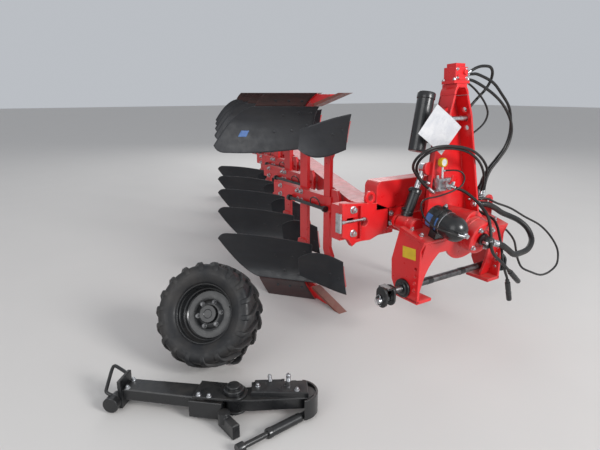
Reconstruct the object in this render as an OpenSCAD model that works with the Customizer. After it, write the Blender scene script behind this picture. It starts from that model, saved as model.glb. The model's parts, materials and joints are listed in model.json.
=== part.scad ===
// Reversible moldboard plough, fully mounted, five pairs of bodies.
// Travel is toward -Y. The lower bodies turn the soil to -X. Z is up from the ground.

/* [Plough] */
// Number of body pairs
body_count = 5; // [3:1:5]
// Distance between bodies along the travel direction
body_pitch = 960; // [900:10:1050]
// Furrow width of one body
furrow_w = 420; // [380:10:450]
// Height of the turnover axis above the ground
axis_z = 860; // [840:5:900]
// Land side position of the first body, across from the turnover axis
land_x = -390; // [-420:5:-370]
// Position of the first point, behind the cross shaft
point_y = 650; // [630:5:700]

/* [Beam] */
// Width of the main beam
beam_w = 180; // [160:5:200]
// Height of the main beam
beam_h = 160; // [140:5:180]
// Wall of the main beam
beam_wall = 12; // [8:1:16]
// Distance of the beam from the legs, square to the travel direction
beam_gap = 360; // [345:5:380]

/* [Bodies] */
// Height of the mouldboard at its front
board_h = 440; // [420:5:460]
// Thickness of the mouldboard
board_t = 9; // [7:1:12]
// Thickness of the share
share_t = 11; // [9:1:14]
// Reach of the share along its cutting edge
share_reach = 560; // [520:5:600]
// Reach of the mouldboard along its top
board_reach = 880; // [840:5:920]
// Width of the chisel point
point_w = 80; // [70:1:90]
// Thickness of the leg
leg_t = 30; // [24:1:36]
// Depth of the leg along the travel direction
leg_d = 110; // [95:1:120]

/* [Headstock] */
// Height of the cross shaft
shaft_z = 450; // [430:5:480]
// Diameter of the cross shaft
shaft_d = 44; // [38:1:50]
// Outer width over the two side brackets
bracket_span = 870; // [840:5:900]
// Height of the mast above the ground
mast_z = 1770; // [1740:5:1800]
// Width of the mast at its foot
mast_foot_w = 460; // [430:5:480]
// Width of the mast near its arch
mast_top_w = 230; // [210:5:250]
// Diameter of the turnover drum
drum_d = 300; // [280:5:320]

/* [Wheel] */
// Diameter of the taken-off depth wheel over its lugs
wheel_d = 660; // [640:5:700]
// Width of the tyre
tyre_w = 270; // [250:5:290]
// Diameter of the rim seat
rim_d = 400; // [380:5:420]

/* [Hidden] */
$fn = 48;

red = "#c8141c";
black = "#1b1c1f";
steel = "#b9bcc0";
board_colour = "#2a2d33";

// Distance between pieces that lie on each other
seat = 0.3;
// Plan angle of the beam from the travel direction
beam_angle = atan(furrow_w / body_pitch);

// Place of one body's point at the ground
function body_x(n) = land_x + n * furrow_w;
function body_y(n) = point_y + n * body_pitch;

// Body surface. Level straight lines lean back across the furrow, their angle growing with height.
// Columns of a form: angle of the lowest line, angle of the top line, Y of the toe, run of the nose
// back from the toe, power of the nose curve, height
body_form = [39, 45, 235, 265, 4, board_h];
function nose_y(form, z) = form[2] + form[3] * (1 - pow(1 - min(z / form[5], 1), form[4]));
function line_angle(form, z) = form[0] + (form[1] - form[0]) * pow(z / form[5], 1.5);
function face(form, s, z, depth) =
    let (a = line_angle(form, z))
    [-s * sin(a) + depth * cos(a), nose_y(form, z) + s * cos(a) + depth * sin(a), z];
// Outline of the share and the mouldboard in reach s and height z
share_h = 105;
tail_rise = 60;
tail_drop = 60;
board_nose_s = 6;
point_gap = 1;
function board_end(z) = share_reach + (board_reach - share_reach) * pow((z - share_h) / (board_h - share_h), 0.6);
function board_top(u) = board_h + tail_rise * sin(min(u, 0.75) * 120) - tail_drop * pow(max(u - 0.85, 0) / 0.15, 2);
board_cols = 10;
board_rows = 8;
share_cols = 5;
share_rows = 3;
function board_grid(from_col, to_col, from_row, to_row) = [
    for (i = [from_col : to_col])
        let (u = i / board_cols, low = share_h + seat)
        [for (j = [from_row : to_row])
            let (z = low + (board_top(u) - low) * j / board_rows)
            [board_nose_s + u * (board_end(z) - board_nose_s), z]]
];
function share_grid(from_col, to_col) = [
    for (i = [from_col : to_col])
        let (u = i / share_cols)
        [for (j = [0 : share_rows])
            let (z = share_h * j / share_rows, start = (point_w + point_gap) / sin(line_angle(body_form, z)))
            [start + u * (share_reach - start), z]]
];

// Shell between two depths behind the face, from a grid of points
function shell_points(form, grid, near, far) = [
    for (depth = [near, far])
        for (row = grid)
            for (p = row)
                face(form, p[0], p[1], depth)
];
module shell(form, grid, near, far) {
    rows = len(grid);
    cols = len(grid[0]);
    count = rows * cols;
    function at(i, j, k) = k * count + i * cols + j;
    faces = [
        for (i = [0 : rows - 2])
            for (j = [0 : cols - 2])
                each [
                    [at(i, j, 0), at(i + 1, j, 0), at(i + 1, j + 1, 0)],
                    [at(i, j, 0), at(i + 1, j + 1, 0), at(i, j + 1, 0)],
                    [at(i, j, 1), at(i + 1, j + 1, 1), at(i + 1, j, 1)],
                    [at(i, j, 1), at(i, j + 1, 1), at(i + 1, j + 1, 1)]
                ],
        for (i = [0 : rows - 2])
            each [
                [at(i, 0, 0), at(i, 0, 1), at(i + 1, 0, 1)],
                [at(i, 0, 0), at(i + 1, 0, 1), at(i + 1, 0, 0)],
                [at(i, cols - 1, 0), at(i + 1, cols - 1, 1), at(i, cols - 1, 1)],
                [at(i, cols - 1, 0), at(i + 1, cols - 1, 0), at(i + 1, cols - 1, 1)]
            ],
        for (j = [0 : cols - 2])
            each [
                [at(0, j, 0), at(0, j + 1, 0), at(0, j + 1, 1)],
                [at(0, j, 0), at(0, j + 1, 1), at(0, j, 1)],
                [at(rows - 1, j, 0), at(rows - 1, j + 1, 1), at(rows - 1, j + 1, 0)],
                [at(rows - 1, j, 0), at(rows - 1, j, 1), at(rows - 1, j + 1, 1)]
            ]
    ];
    polyhedron(shell_points(form, grid, near, far), faces, convexity = 6);
}
module placed() {
    translate([-origin_x, -origin_y, 0])
        children();
}
module each_body(upper = false) {
    for (n = [0 : body_count - 1])
        translate([body_x(n), body_y(n), upper ? 2 * axis_z : 0])
            mirror([0, 0, upper ? 1 : 0])
                children();
}

module mouldboard_one() {
    shell(body_form, board_grid(0, board_cols, 0, board_rows), 0, board_t);
}
module share_one() {
    shell(body_form, share_grid(0, share_cols), 0, share_t);
}

// Chisel point: a bar that lies against the land side
point_l = 400;
point_t = 24;
point_slope = 15;
point_toe = 70;
point_end_y = point_l * cos(point_slope);
point_end_z = point_l * sin(point_slope);
function point_under(y) = (y - point_toe) * (point_end_z - point_t) / (point_end_y - point_toe);
module point_one() {
    translate([-point_w, 0, 0])
        rotate([90, 0, 90])
            linear_extrude(point_w)
                polygon([
                    [0, 0],
                    [point_toe, 0],
                    [point_end_y, point_end_z - point_t],
                    [point_end_y, point_end_z]
                ]);
}

// Frog: shaped pads behind the mouldboard and the share, a plate along the land side, a nose under the point
frog_t = 22;
pad_t = 40;
shelf_t = 30;
frog_low_z = 20;
frog_back_y = 740;
frog_top_z = 455;
nose_from_y = 190;
nose_w = 56;
plate_set = 64;
module frog_one() {
    shell(body_form, board_grid(1, 4, 1, 6), board_t + seat, board_t + pad_t);
    shell(body_form, share_grid(0, 2), share_t + seat, share_t + shelf_t);
    translate([-frog_t, 0, 0])
        rotate([90, 0, 90])
            linear_extrude(frog_t)
                polygon([
                    [point_end_y + 20, frog_low_z],
                    [frog_back_y, frog_low_z],
                    [frog_back_y, 250],
                    [700, frog_top_z],
                    [575, frog_top_z],
                    for (z = [300, 220, 160, 120, 100])
                        [nose_y(body_form, z) + plate_set, z],
                    [point_end_y + 20, 90]
                ]);
    translate([-nose_w - (point_w - nose_w) / 2, 0, 0])
        rotate([90, 0, 90])
            linear_extrude(nose_w + (point_w - nose_w) / 2)
                polygon([
                    [nose_from_y, frog_low_z / 2],
                    [nose_from_y, point_under(nose_from_y) - seat],
                    [point_end_y, point_end_z - point_t - seat],
                    [point_end_y + 60, point_end_z - point_t - seat],
                    [point_end_y + 60, frog_low_z / 2]
                ]);
}
// Land side: the long bar that runs along the furrow wall
landside_t = 14;
landside_l = 420;
landside_h = 95;
module landside_one() {
    translate([seat, 470, 12])
        cube([landside_t, landside_l, landside_h]);
}

// Leg
carrier_h = 120;
leg_y = 590;
leg_foot_z = 125;
leg_top_z = axis_z - carrier_h / 2 - seat;
module leg_one() {
    translate([seat, leg_y, leg_foot_z])
        cube([leg_t, leg_d, leg_top_z - leg_foot_z]);
}

// Skimmer: a small board on a stalk ahead of each body
skim_h = 330;
skim_reach = 370;
skim_tip = [-10, 0, 148];
skim_t = 8;
skim_cols = 6;
skim_rows = 5;
skim_form = [40, 48, 0, 55, 2, skim_h];
function skim_low(u) = 120 * pow(u, 1.3);
function skim_top(u) = 265 + 65 * sin(min(u, 0.6) * 150) - 60 * pow(max(u - 0.6, 0) / 0.4, 2);
function skim_grid(from_col, to_col, from_row, to_row) = [
    for (i = [from_col : to_col])
        let (u = i / skim_cols)
        [for (j = [from_row : to_row])
            [u * skim_reach, skim_low(u) + (skim_top(u) - skim_low(u)) * j / skim_rows]]
];
module skimmer_one() {
    translate(skim_tip)
        shell(skim_form, skim_grid(0, skim_cols, 0, skim_rows), 0, skim_t);
}
stalk_t = 30;
stalk_d = 80;
stalk_x = -40;
stalk_y = 210;
module skimmer_stalk_one() {
    translate([stalk_x, 0, 0])
        rotate([90, 0, 90])
            linear_extrude(stalk_t)
                polygon([
                    [stalk_y, leg_top_z],
                    [stalk_y, 500],
                    [170, 430],
                    [170, 330],
                    [230, 330],
                    [stalk_y + stalk_d, 470],
                    [stalk_y + stalk_d, leg_top_z]
                ]);
    translate(skim_tip)
        shell(skim_form, skim_grid(0, 2, 1, 4), skim_t + seat, skim_t + 40);
    translate([stalk_x, 0, 0])
        rotate([90, 0, 90])
            linear_extrude(stalk_t)
                polygon([
                    [skim_tip[1] + 90, skim_tip[2] + 130],
                    [skim_tip[1] + 105, skim_tip[2] + 220],
                    [200, 400],
                    [230, 330]
                ]);
}
// Beam, in its own direction from the swing pin
pin_y = 400;
pin_x = land_x + beam_gap - (point_y + leg_y + leg_d / 2 - pin_y) * tan(beam_angle);
beam_start = 200;
beam_over = 160;
beam_len = (point_y + (body_count - 1) * body_pitch + leg_y + beam_over - pin_y) / cos(beam_angle) - beam_start;
function beam_x(y) = pin_x + (y - pin_y) * tan(beam_angle);
beam_half_x = beam_w / 2 / cos(beam_angle);
module along_beam() {
    translate([pin_x, pin_y, axis_z])
        rotate([0, 0, -beam_angle])
            children();
}
module main_beam() {
    color(red)
        placed()
            along_beam()
                translate([0, beam_start, 0])
                    rotate([-90, 0, 0])
                        linear_extrude(beam_len)
                            difference() {
                                square([beam_w, beam_h], center = true);
                                square([beam_w - 2 * beam_wall, beam_h - 2 * beam_wall], center = true);
                            }
}

// Head of the beam: turns on the swing pin between the plates of the turnover arm
head_d = 170;
head_h = 150;
swing_pin_d = 70;
run_clear = 0.05;
module beam_head() {
    color(red)
        placed()
            along_beam()
                difference() {
                    union() {
                        cylinder(d = head_d, h = head_h, center = true);
                        translate([-head_d / 2, 0, -head_h / 2])
                            cube([head_d, beam_start, head_h]);
                    }
                    cylinder(d = swing_pin_d + 2 * run_clear, h = head_h + 2, center = true);
                }
}

// Carrier of one pair of legs: a box along the travel direction, bracketed to the beam
carrier_w = 70;
carrier_y = 190;
carrier_l = 900;
carrier_x = leg_t - 2 - carrier_w;
bracket_plate_t = 20;
bracket_from_y = 330;
bracket_to_y = 510;
function beam_face(y) = beam_x(y + point_y) - beam_half_x - land_x;
module leg_carrier_one() {
    translate([carrier_x, carrier_y, axis_z - carrier_h / 2])
        cube([carrier_w, carrier_l, carrier_h]);
    for (side = [-1, 1])
        translate([0, 0, axis_z + side * (carrier_h / 2 - 15) - bracket_plate_t / 2])
            linear_extrude(bracket_plate_t)
                polygon([
                    [carrier_x + carrier_w - 1, bracket_from_y],
                    [beam_face(bracket_from_y) - seat, bracket_from_y],
                    [beam_face(bracket_to_y) - seat, bracket_to_y],
                    [carrier_x + carrier_w - 1, bracket_to_y]
                ]);
}
stay_d = 28;
module carrier_stay_one() {
    for (side = [-1, 1])
        translate([carrier_x - stay_d / 2 - seat, carrier_y + 60, axis_z + side * 38])
            rotate([-90, 0, 0])
                cylinder(d = stay_d, h = carrier_l - 200);
}

// Swing pin and the turnover arm: front face, top box and lower plate round the head of the beam
arm_front_y = pin_y - 134;
arm_front_t = 24;
arm_box_d = 130;
ear_t = 40;
ear_back_y = pin_y + 110;
arm_left_x = pin_x - 40;
face_left_x = -750;
arm_right_x = 100;
arm_top_z = axis_z + 270;
arm_low_t = 40;
module swing_pin() {
    color(steel)
        placed()
            translate([pin_x, pin_y, axis_z - head_h / 2 - arm_low_t])
                cylinder(d = swing_pin_d, h = head_h + arm_low_t + 55);
}
module turnover_arm() {
    ear_z = axis_z + head_h / 2 + seat;
    color(red)
        placed()
            difference() {
                union() {
                    translate([arm_left_x, arm_front_y + arm_front_t, ear_z])
                        cube([arm_right_x - arm_left_x, arm_box_d - arm_front_t, arm_top_z - ear_z]);
                    for (z = [ear_z, axis_z - head_h / 2 - seat - arm_low_t])
                        translate([pin_x - 110, arm_front_y + arm_front_t, z])
                            cube([250, ear_back_y - arm_front_y - arm_front_t, ear_t]);
                    translate([0, arm_front_y + arm_front_t, 0])
                        rotate([90, 0, 0])
                            linear_extrude(arm_front_t)
                                polygon([
                                    [face_left_x, axis_z + 100],
                                    [face_left_x, axis_z - 140],
                                    [face_left_x + 40, axis_z - 175],
                                    [pin_x + 20, axis_z - 165],
                                    [pin_x + 130, axis_z - 110],
                                    [arm_right_x, axis_z - 110],
                                    [arm_right_x, arm_top_z],
                                    [arm_left_x, arm_top_z],
                                    [arm_left_x, axis_z + 100]
                                ]);
                }
                translate([pin_x, pin_y, axis_z - head_h / 2 - arm_low_t - seat - 1])
                    cylinder(d = swing_pin_d, h = head_h + arm_low_t + 60 + 2);
                translate([face_left_x + 45, arm_front_y - 1, axis_z - 110])
                    cube([20, arm_front_t + 2, 200]);
            }
}
module adjuster_rod() {
    color(steel)
        placed()
            translate([face_left_x - 60, arm_front_y - 14 - seat, axis_z - 5])
                rotate([0, 90, 0])
                    cylinder(d = 28, h = 150);
}

// Turnover shaft and its crank
hub_shaft_d = 110;
drum_front_y = -260;
drum_l = 410;
module turnover_shaft() {
    color(steel)
        placed()
            translate([0, drum_front_y + 40, axis_z])
                rotate([-90, 0, 0])
                    cylinder(d = hub_shaft_d, h = arm_front_y - drum_front_y - 40 - seat);
}
crank_reach = 340;
crank_y = drum_front_y + drum_l + 22;
crank_t = 26;
module turnover_crank() {
    color(red)
        placed()
            translate([0, crank_y + crank_t, axis_z])
                rotate([90, 0, 0])
                    linear_extrude(crank_t)
                        difference() {
                            union() {
                                circle(d = 200);
                                translate([-crank_reach, 0])
                                    circle(d = 90);
                                translate([-crank_reach, -45])
                                    square([crank_reach, 90]);
                            }
                            circle(d = hub_shaft_d);
                        }
}

// Cross shaft with its flanges, couplers and pins
coupler_t = 18;
coupler_inner_x = 548;
coupler_gap = 52;
link_pin_d = 36.6;
link_pin_drop = 45;
flange_d = 130;
flange_t = 20;
coupler_outer_x = coupler_inner_x + 2 * coupler_t + coupler_gap;
module both_sides() {
    for (side = [0, 1])
        mirror([side, 0, 0])
            children();
}
module cross_shaft() {
    color(black)
        placed()
            translate([-coupler_inner_x - coupler_t, 0, shaft_z])
                rotate([0, 90, 0])
                    cylinder(d = shaft_d, h = 2 * (coupler_inner_x + coupler_t));
}
module shaft_flanges() {
    color(black)
        placed()
            both_sides()
                translate([bracket_span / 2 + seat, 0, shaft_z])
                    rotate([0, 90, 0])
                        difference() {
                            cylinder(d = flange_d, h = flange_t);
                            translate([0, 0, -1])
                                cylinder(d = shaft_d, h = flange_t + 2);
                        }
}
module coupler_plate(with_shaft) {
    translate([0, 0, 0])
        rotate([90, 0, 90])
            linear_extrude(coupler_t)
                difference() {
                    union() {
                        translate([0, shaft_z])
                            circle(d = 100);
                        translate([0, shaft_z - link_pin_drop])
                            circle(d = 100);
                        translate([-50, shaft_z - link_pin_drop])
                            square([100, link_pin_drop]);
                    }
                    if (with_shaft)
                        translate([0, shaft_z])
                            circle(d = shaft_d);
                    translate([0, shaft_z - link_pin_drop])
                        circle(d = link_pin_d);
                }
}
module link_couplers() {
    color(black)
        placed()
            both_sides() {
                translate([coupler_inner_x, 0, 0])
                    coupler_plate(true);
                translate([coupler_inner_x + coupler_t + coupler_gap, 0, 0])
                    coupler_plate(false);
                translate([coupler_inner_x + coupler_t - 1, -45, shaft_z + 30])
                    cube([coupler_gap + 2, 90, 14]);
            }
}
module coupler_pins() {
    color(steel)
        placed()
            both_sides()
                translate([coupler_inner_x, 0, shaft_z - link_pin_drop])
                    rotate([0, 90, 0])
                        cylinder(d = link_pin_d, h = coupler_outer_x - coupler_inner_x + 26);
}
module linch_pins() {
    color(steel)
        placed()
            both_sides()
                translate([coupler_outer_x + 8, 0, shaft_z - link_pin_drop + link_pin_d / 2 + seat])
                    cylinder(d = 10, h = 40);
}

// Headstock: side brackets, leaning front plate and the top plate square to it
bracket_t = 20;
front_lean = 15;
front_low_z = 380;
front_low_y = -20;
front_h = 425;
front_t = 20;
top_t = 20;
top_depth = 205;
leg_w = 110;
arch_spring_h = 130;
head_x = bracket_span / 2;
function head_at(h, d) = [
    front_low_y - h * sin(front_lean) - d * cos(front_lean),
    front_low_z + h * cos(front_lean) - d * sin(front_lean)
];
module on_front() {
    translate([0, front_low_y, front_low_z])
        rotate([90 + front_lean, 0, 0])
            children();
}
module drum_space() {
    translate([0, drum_front_y - 100, axis_z])
        rotate([-90, 0, 0])
            cylinder(d = drum_d + 2 * seat, h = drum_l + 200);
}
module side_brackets() {
    color(red)
        placed()
            both_sides() {
                translate([head_x - bracket_t, 0, 0])
                    rotate([90, 0, 90])
                        linear_extrude(bracket_t)
                            difference() {
                                polygon([
                                    head_at(0, -seat),
                                    [65, front_low_z],
                                    [120, 480],
                                    [130, 620],
                                    head_at(front_h - seat, -top_depth),
                                    head_at(front_h - seat, -seat)
                                ]);
                                translate([0, shaft_z])
                                    circle(d = shaft_d);
                            }
                translate([head_x - leg_w, 0, front_low_z - 12])
                    cube([leg_w, 65, 12]);
            }
}
module front_plate() {
    color(red)
        placed()
            difference() {
                on_front()
                    linear_extrude(front_t)
                        difference() {
                            translate([-head_x, 0])
                                square([2 * head_x, front_h - seat]);
                            translate([-head_x + leg_w, -1])
                                square([2 * (head_x - leg_w), arch_spring_h + 1]);
                            translate([0, arch_spring_h])
                                intersection() {
                                    circle(r = head_x - leg_w, $fn = 96);
                                    translate([-head_x, 0])
                                        square([2 * head_x, front_h - arch_spring_h - 90]);
                                }
                        }
                drum_space();
            }
}
module top_plate() {
    color(red)
        placed()
            difference() {
                on_front()
                    translate([-head_x, front_h, -top_depth])
                        cube([2 * head_x, top_t, top_depth + front_t]);
                drum_space();
            }
}
module turnover_drum() {
    color(red)
        placed()
            translate([0, drum_front_y, axis_z])
                rotate([-90, 0, 0])
                    difference() {
                        cylinder(d = drum_d, h = drum_l);
                        translate([0, 0, 40])
                            cylinder(d = hub_shaft_d + 2 * run_clear, h = drum_l);
                    }
}
module drum_cap() {
    color(black)
        placed()
            translate([0, drum_front_y - 45 - seat, axis_z])
                rotate([-90, 0, 0])
                    cylinder(d = 84, h = 45);
}

// Mast: a back web with side plates, leaning back from the top plate
mast_lean = 4;
mast_low_z = 870;
mast_wall = 18;
mast_depth = 125;
mast_back_y = 72;
mast_len = (mast_z - mast_low_z) / cos(mast_lean);
mast_knee = 200;
arch_r = 70;
module mast_outline(inset) {
    foot = inset == 0 ? 0 : -1;
    polygon([
        [-mast_foot_w / 2 + inset, foot],
        [-mast_top_w / 2 + inset, mast_len - mast_knee],
        [-arch_r + inset, mast_len - arch_r],
        [arch_r - inset, mast_len - arch_r],
        [mast_top_w / 2 - inset, mast_len - mast_knee],
        [mast_foot_w / 2 - inset, foot]
    ]);
    translate([0, mast_len - arch_r])
        circle(r = arch_r - inset);
}
module on_mast() {
    translate([0, mast_back_y, mast_low_z])
        rotate([90 - mast_lean, 0, 0])
            children();
}
top_link_h = 680;
top_link_step = 110;
top_link_d = 33;
top_link_set = 45;
top_link_z = mast_low_z + top_link_h * cos(mast_lean);
module mast() {
    color(red)
        placed()
            difference() {
                union() {
                    on_mast() {
                        linear_extrude(mast_wall)
                            mast_outline(0);
                        linear_extrude(mast_depth)
                            difference() {
                                mast_outline(0);
                                mast_outline(mast_wall);
                            }
                    }
                    translate([rod_top[0], mast_back_y + 10, rod_top[1]])
                        rotate([-90, 0, 0])
                            cylinder(d = rod_pin_d, h = cylinder_y + 30 - mast_back_y - 10);
                }
                on_mast()
                    for (hole = [0, 1])
                        translate([-200, top_link_h - hole * top_link_step, mast_depth - top_link_set])
                            rotate([0, 90, 0])
                                cylinder(d = top_link_d, h = 400);
                drum_space();
                on_front()
                    translate([-head_x, front_h - 200, -top_depth - 200])
                        cube([2 * head_x, top_t + seat + 200, top_depth + 400]);
            }
}
module top_link_pin() {
    color(steel)
        placed()
            on_mast()
                translate([-150, top_link_h, mast_depth - top_link_set])
                    rotate([0, 90, 0])
                        cylinder(d = top_link_d - 2 * seat, h = 300);
}
module paper_tag() {
    color("white")
        placed()
            on_mast()
                translate([-150, top_link_h - 200, mast_depth + seat])
                    cube([190, 150, 1]);
}
module rotary_valve() {
    color(red)
        placed()
            on_mast()
                translate([-65, mast_len + seat, 20])
                    cube([130, 130, 110]);
}
module valve_block() {
    color(steel)
        placed()
            on_mast()
                translate([-110, 260, mast_wall + seat])
                    cube([90, 80, 80]);
}
module pressure_gauge() {
    color("yellow")
        placed()
            on_mast()
                translate([-60, 340 + seat, 60])
                    rotate([-90, 0, 0])
                        cylinder(d = 60, h = 50);
}
accumulator_d = 190;
accumulator_x = -250;
accumulator_l = 210;
accumulator_front = 165;
saddle_t = 24;
module accumulator() {
    color(black)
        placed()
            on_front()
                translate([accumulator_x, front_h + top_t + saddle_t + 2 * seat + accumulator_d / 2, accumulator_front - accumulator_l])
                    cylinder(d = accumulator_d, h = accumulator_l);
}
module accumulator_clamp() {
    color(black)
        placed()
            on_front()
                difference() {
                    translate([accumulator_x - 80, front_h + top_t + seat, -50])
                        cube([160, 50, 60]);
                    translate([accumulator_x, front_h + top_t + saddle_t + 2 * seat + accumulator_d / 2, -200])
                        cylinder(d = accumulator_d + 2 * seat, h = 400);
                    translate([accumulator_x + 90, 0, -200])
                        cube([200, 900, 400]);
                }
}
tube_d = 110;
tube_l = 380;
tube_x = -215;
tube_h = 440;
tube_clip_h = [tube_h + 40, tube_h + 100];
function mast_side(h) = mast_foot_w / 2 - (mast_foot_w - mast_top_w) / 2 * h / (mast_len - mast_knee);
module document_tube() {
    color(black)
        placed()
            on_mast() {
                translate([tube_x, tube_h, tube_d / 2])
                    rotate([-90, 0, 0])
                        cylinder(d = tube_d, h = tube_l);
                translate([0, 0, tube_d / 2 - 15])
                    linear_extrude(30)
                        polygon([
                            [tube_x, tube_clip_h[0]],
                            [-mast_side(tube_clip_h[0]) - seat, tube_clip_h[0]],
                            [-mast_side(tube_clip_h[1]) - seat, tube_clip_h[1]],
                            [tube_x, tube_clip_h[1]]
                        ]);
            }
}
// Turnover cylinder behind the mast: barrel on the crank's side, rod up to the mast
cylinder_y = crank_y - 45;
cylinder_lean = 24;
barrel_d = 76;
barrel_l = 200;
rod_pin_d = 30;
rod_top_l = 400;
rod_top = [-crank_reach + rod_top_l * sin(cylinder_lean), axis_z + rod_top_l * cos(cylinder_lean)];
module on_cylinder() {
    translate([-crank_reach, cylinder_y, axis_z])
        rotate([0, cylinder_lean, 0])
            children();
}
module turnover_barrel() {
    color(black)
        placed()
            on_cylinder() {
                translate([0, -30, 0])
                    rotate([-90, 0, 0])
                        cylinder(d = 100, h = 60);
                translate([0, 0, 40])
                    cylinder(d = barrel_d, h = barrel_l + 10);
            }
}
module turnover_rod() {
    color(steel)
        placed()
            on_cylinder()
                difference() {
                    union() {
                        translate([0, 0, 50 + barrel_l + seat])
                            cylinder(d = 40, h = rod_top_l - 50 - barrel_l);
                        translate([0, -20, rod_top_l])
                            rotate([-90, 0, 0])
                                cylinder(d = 64, h = 40);
                    }
                    translate([0, -40, rod_top_l])
                        rotate([-90, 0, 0])
                            cylinder(d = rod_pin_d + 2 * run_clear, h = 80);
                }
}
module leg_carriers() {
    color(red)
        placed()
            each_body()
                leg_carrier_one();
}
module carrier_stays() {
    color(black)
        placed()
            each_body()
                carrier_stay_one();
}
module legs_lower() {
    color(red)
        placed()
            each_body()
                leg_one();
}
module legs_upper() {
    color(red)
        placed()
            each_body(true)
                leg_one();
}
module frogs_lower() {
    color(red)
        placed()
            each_body()
                frog_one();
}
module frogs_upper() {
    color(red)
        placed()
            each_body(true)
                frog_one();
}
module landsides_lower() {
    color(board_colour)
        placed()
            each_body()
                landside_one();
}
module landsides_upper() {
    color(board_colour)
        placed()
            each_body(true)
                landside_one();
}
module points_lower() {
    color("#a4523c")
        placed()
            each_body()
                point_one();
}
module points_upper() {
    color("#a4523c")
        placed()
            each_body(true)
                point_one();
}
module shares_lower() {
    color("#5b3b35")
        placed()
            each_body()
                share_one();
}
module shares_upper() {
    color("#5b3b35")
        placed()
            each_body(true)
                share_one();
}
module mouldboards_lower() {
    color(board_colour)
        placed()
            each_body()
                mouldboard_one();
}
module mouldboards_upper() {
    color(board_colour)
        placed()
            each_body(true)
                mouldboard_one();
}
module skimmer_stalks() {
    color(red)
        placed() {
            each_body()
                skimmer_stalk_one();
            each_body(true)
                skimmer_stalk_one();
        }
}
module skimmers_lower() {
    color(board_colour)
        placed()
            each_body()
                skimmer_one();
}
module skimmers_upper() {
    color(board_colour)
        placed()
            each_body(true)
                skimmer_one();
}

// Parking stand on the land side of the beam
stand_x = 570;
stand_y = 900;
stand_tube = 60;
stand_wall = 5;
stand_travel = 300;
sleeve_low_z = 620;
sleeve_l = 330;
slide_clear = 0.5;
foot_w = 180;
foot_t = 10;
arm_tube = 80;
module stand_sleeve() {
    outer = stand_tube + 2 * slide_clear + 2 * stand_wall;
    color(red)
        placed() {
            difference() {
                translate([stand_x - outer / 2, stand_y - outer / 2, sleeve_low_z])
                    cube([outer, outer, sleeve_l]);
                translate([stand_x - stand_tube / 2 - slide_clear, stand_y - stand_tube / 2 - slide_clear, 0])
                    cube([stand_tube + 2 * slide_clear, stand_tube + 2 * slide_clear, 2000]);
            }
            translate([0, 0, axis_z - arm_tube / 2])
                linear_extrude(arm_tube)
                    polygon([
                        [beam_x(stand_y - arm_tube / 2) + beam_half_x + seat, stand_y - arm_tube / 2],
                        [stand_x - outer / 2 + 1, stand_y - arm_tube / 2],
                        [stand_x - outer / 2 + 1, stand_y + arm_tube / 2],
                        [beam_x(stand_y + arm_tube / 2) + beam_half_x + seat, stand_y + arm_tube / 2]
                    ]);
        }
}
module parking_stand() {
    color(black)
        placed()
            translate([stand_x, stand_y, 0]) {
                translate([-stand_tube / 2, -stand_tube / 2, foot_t])
                    cube([stand_tube, stand_tube, sleeve_low_z + sleeve_l + 40 - foot_t]);
                translate([-foot_w / 2, -foot_w / 2, 0])
                    cube([foot_w, foot_w, foot_t]);
            }
}

// Taken-off depth wheel, lying on its tread edge against its bracket
wheel_x = -1615;
wheel_y = 527;
wheel_lean = 62;
wheel_turn = -48;
wheel_z = wheel_d / 2 * sin(wheel_lean) + tyre_w / 2 * cos(wheel_lean);
module wheel_place() {
    translate([wheel_x, wheel_y, wheel_z])
        rotate([0, 0, wheel_turn])
            rotate([wheel_lean, 0, 0])
                children();
}
module wheel_tyre() {
    color(black)
        placed()
            wheel_place()
                difference() {
                    cylinder(d = wheel_d, h = tyre_w, center = true);
                    cylinder(d = rim_d, h = tyre_w + 2, center = true);
                }
}
disc_z = -15;
disc_t = 16;
hub_l = 115;
module wheel_rim() {
    rim_l = tyre_w - 60;
    color(black)
        placed()
            wheel_place()
                difference() {
                    cylinder(d = rim_d - 2 * seat, h = rim_l, center = true);
                    translate([0, 0, disc_z + disc_t])
                        cylinder(d = rim_d - 40, h = rim_l);
                    translate([0, 0, disc_z - rim_l])
                        cylinder(d = rim_d - 40, h = rim_l);
                }
}
module wheel_bracket() {
    color(black)
        placed()
            wheel_place()
                translate([0, 0, disc_z - seat - hub_l])
                    cylinder(d = 120, h = hub_l);
}

// Taken-off wheel arm, folded
arm_axis_z = 120;
arm_from = [-2194, 407];
arm_turn = -47;
arm_pivot_l = 592;
pivot_d = 110;
arm_pivot = [arm_from[0] + arm_pivot_l * cos(arm_turn), arm_from[1] + arm_pivot_l * sin(arm_turn)];
link_turn = -32;
link_len = 450;
loose_arm_w = 90;
module on_loose_arm() {
    translate([arm_from[0], arm_from[1], 0])
        rotate([0, 0, arm_turn])
            children();
}
module wheel_arm() {
    color(black)
        placed()
            on_loose_arm()
                translate([0, -loose_arm_w / 2, arm_axis_z - loose_arm_w / 2])
                    cube([arm_pivot_l - pivot_d / 2 - seat, loose_arm_w, loose_arm_w]);
}
module wheel_arm_handle() {
    color(black)
        placed()
            on_loose_arm()
                translate([-160, -40, 0])
                    cube([160 - seat, 80, arm_axis_z + 60]);
}
module wheel_arm_link() {
    color(black)
        placed()
            translate([arm_pivot[0], arm_pivot[1], 0])
                rotate([0, 0, link_turn]) {
                    cylinder(d = pivot_d, h = arm_axis_z + 60);
                    translate([0, -50, 60])
                        cube([link_len, 100, 110]);
                    translate([link_len - 80, -90, 0])
                        cube([80, 120, 90]);
                }
}
module wheel_arm_cylinder() {
    color(black)
        placed()
            translate([arm_pivot[0], arm_pivot[1], 0])
                rotate([0, 0, link_turn])
                    translate([link_len - 80 - 14.5 - seat, -65, 40])
                        rotate([0, 0, -link_turn])
                            rotate([0, -90, 0])
                                cylinder(d = 50, h = 390);
}
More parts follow.
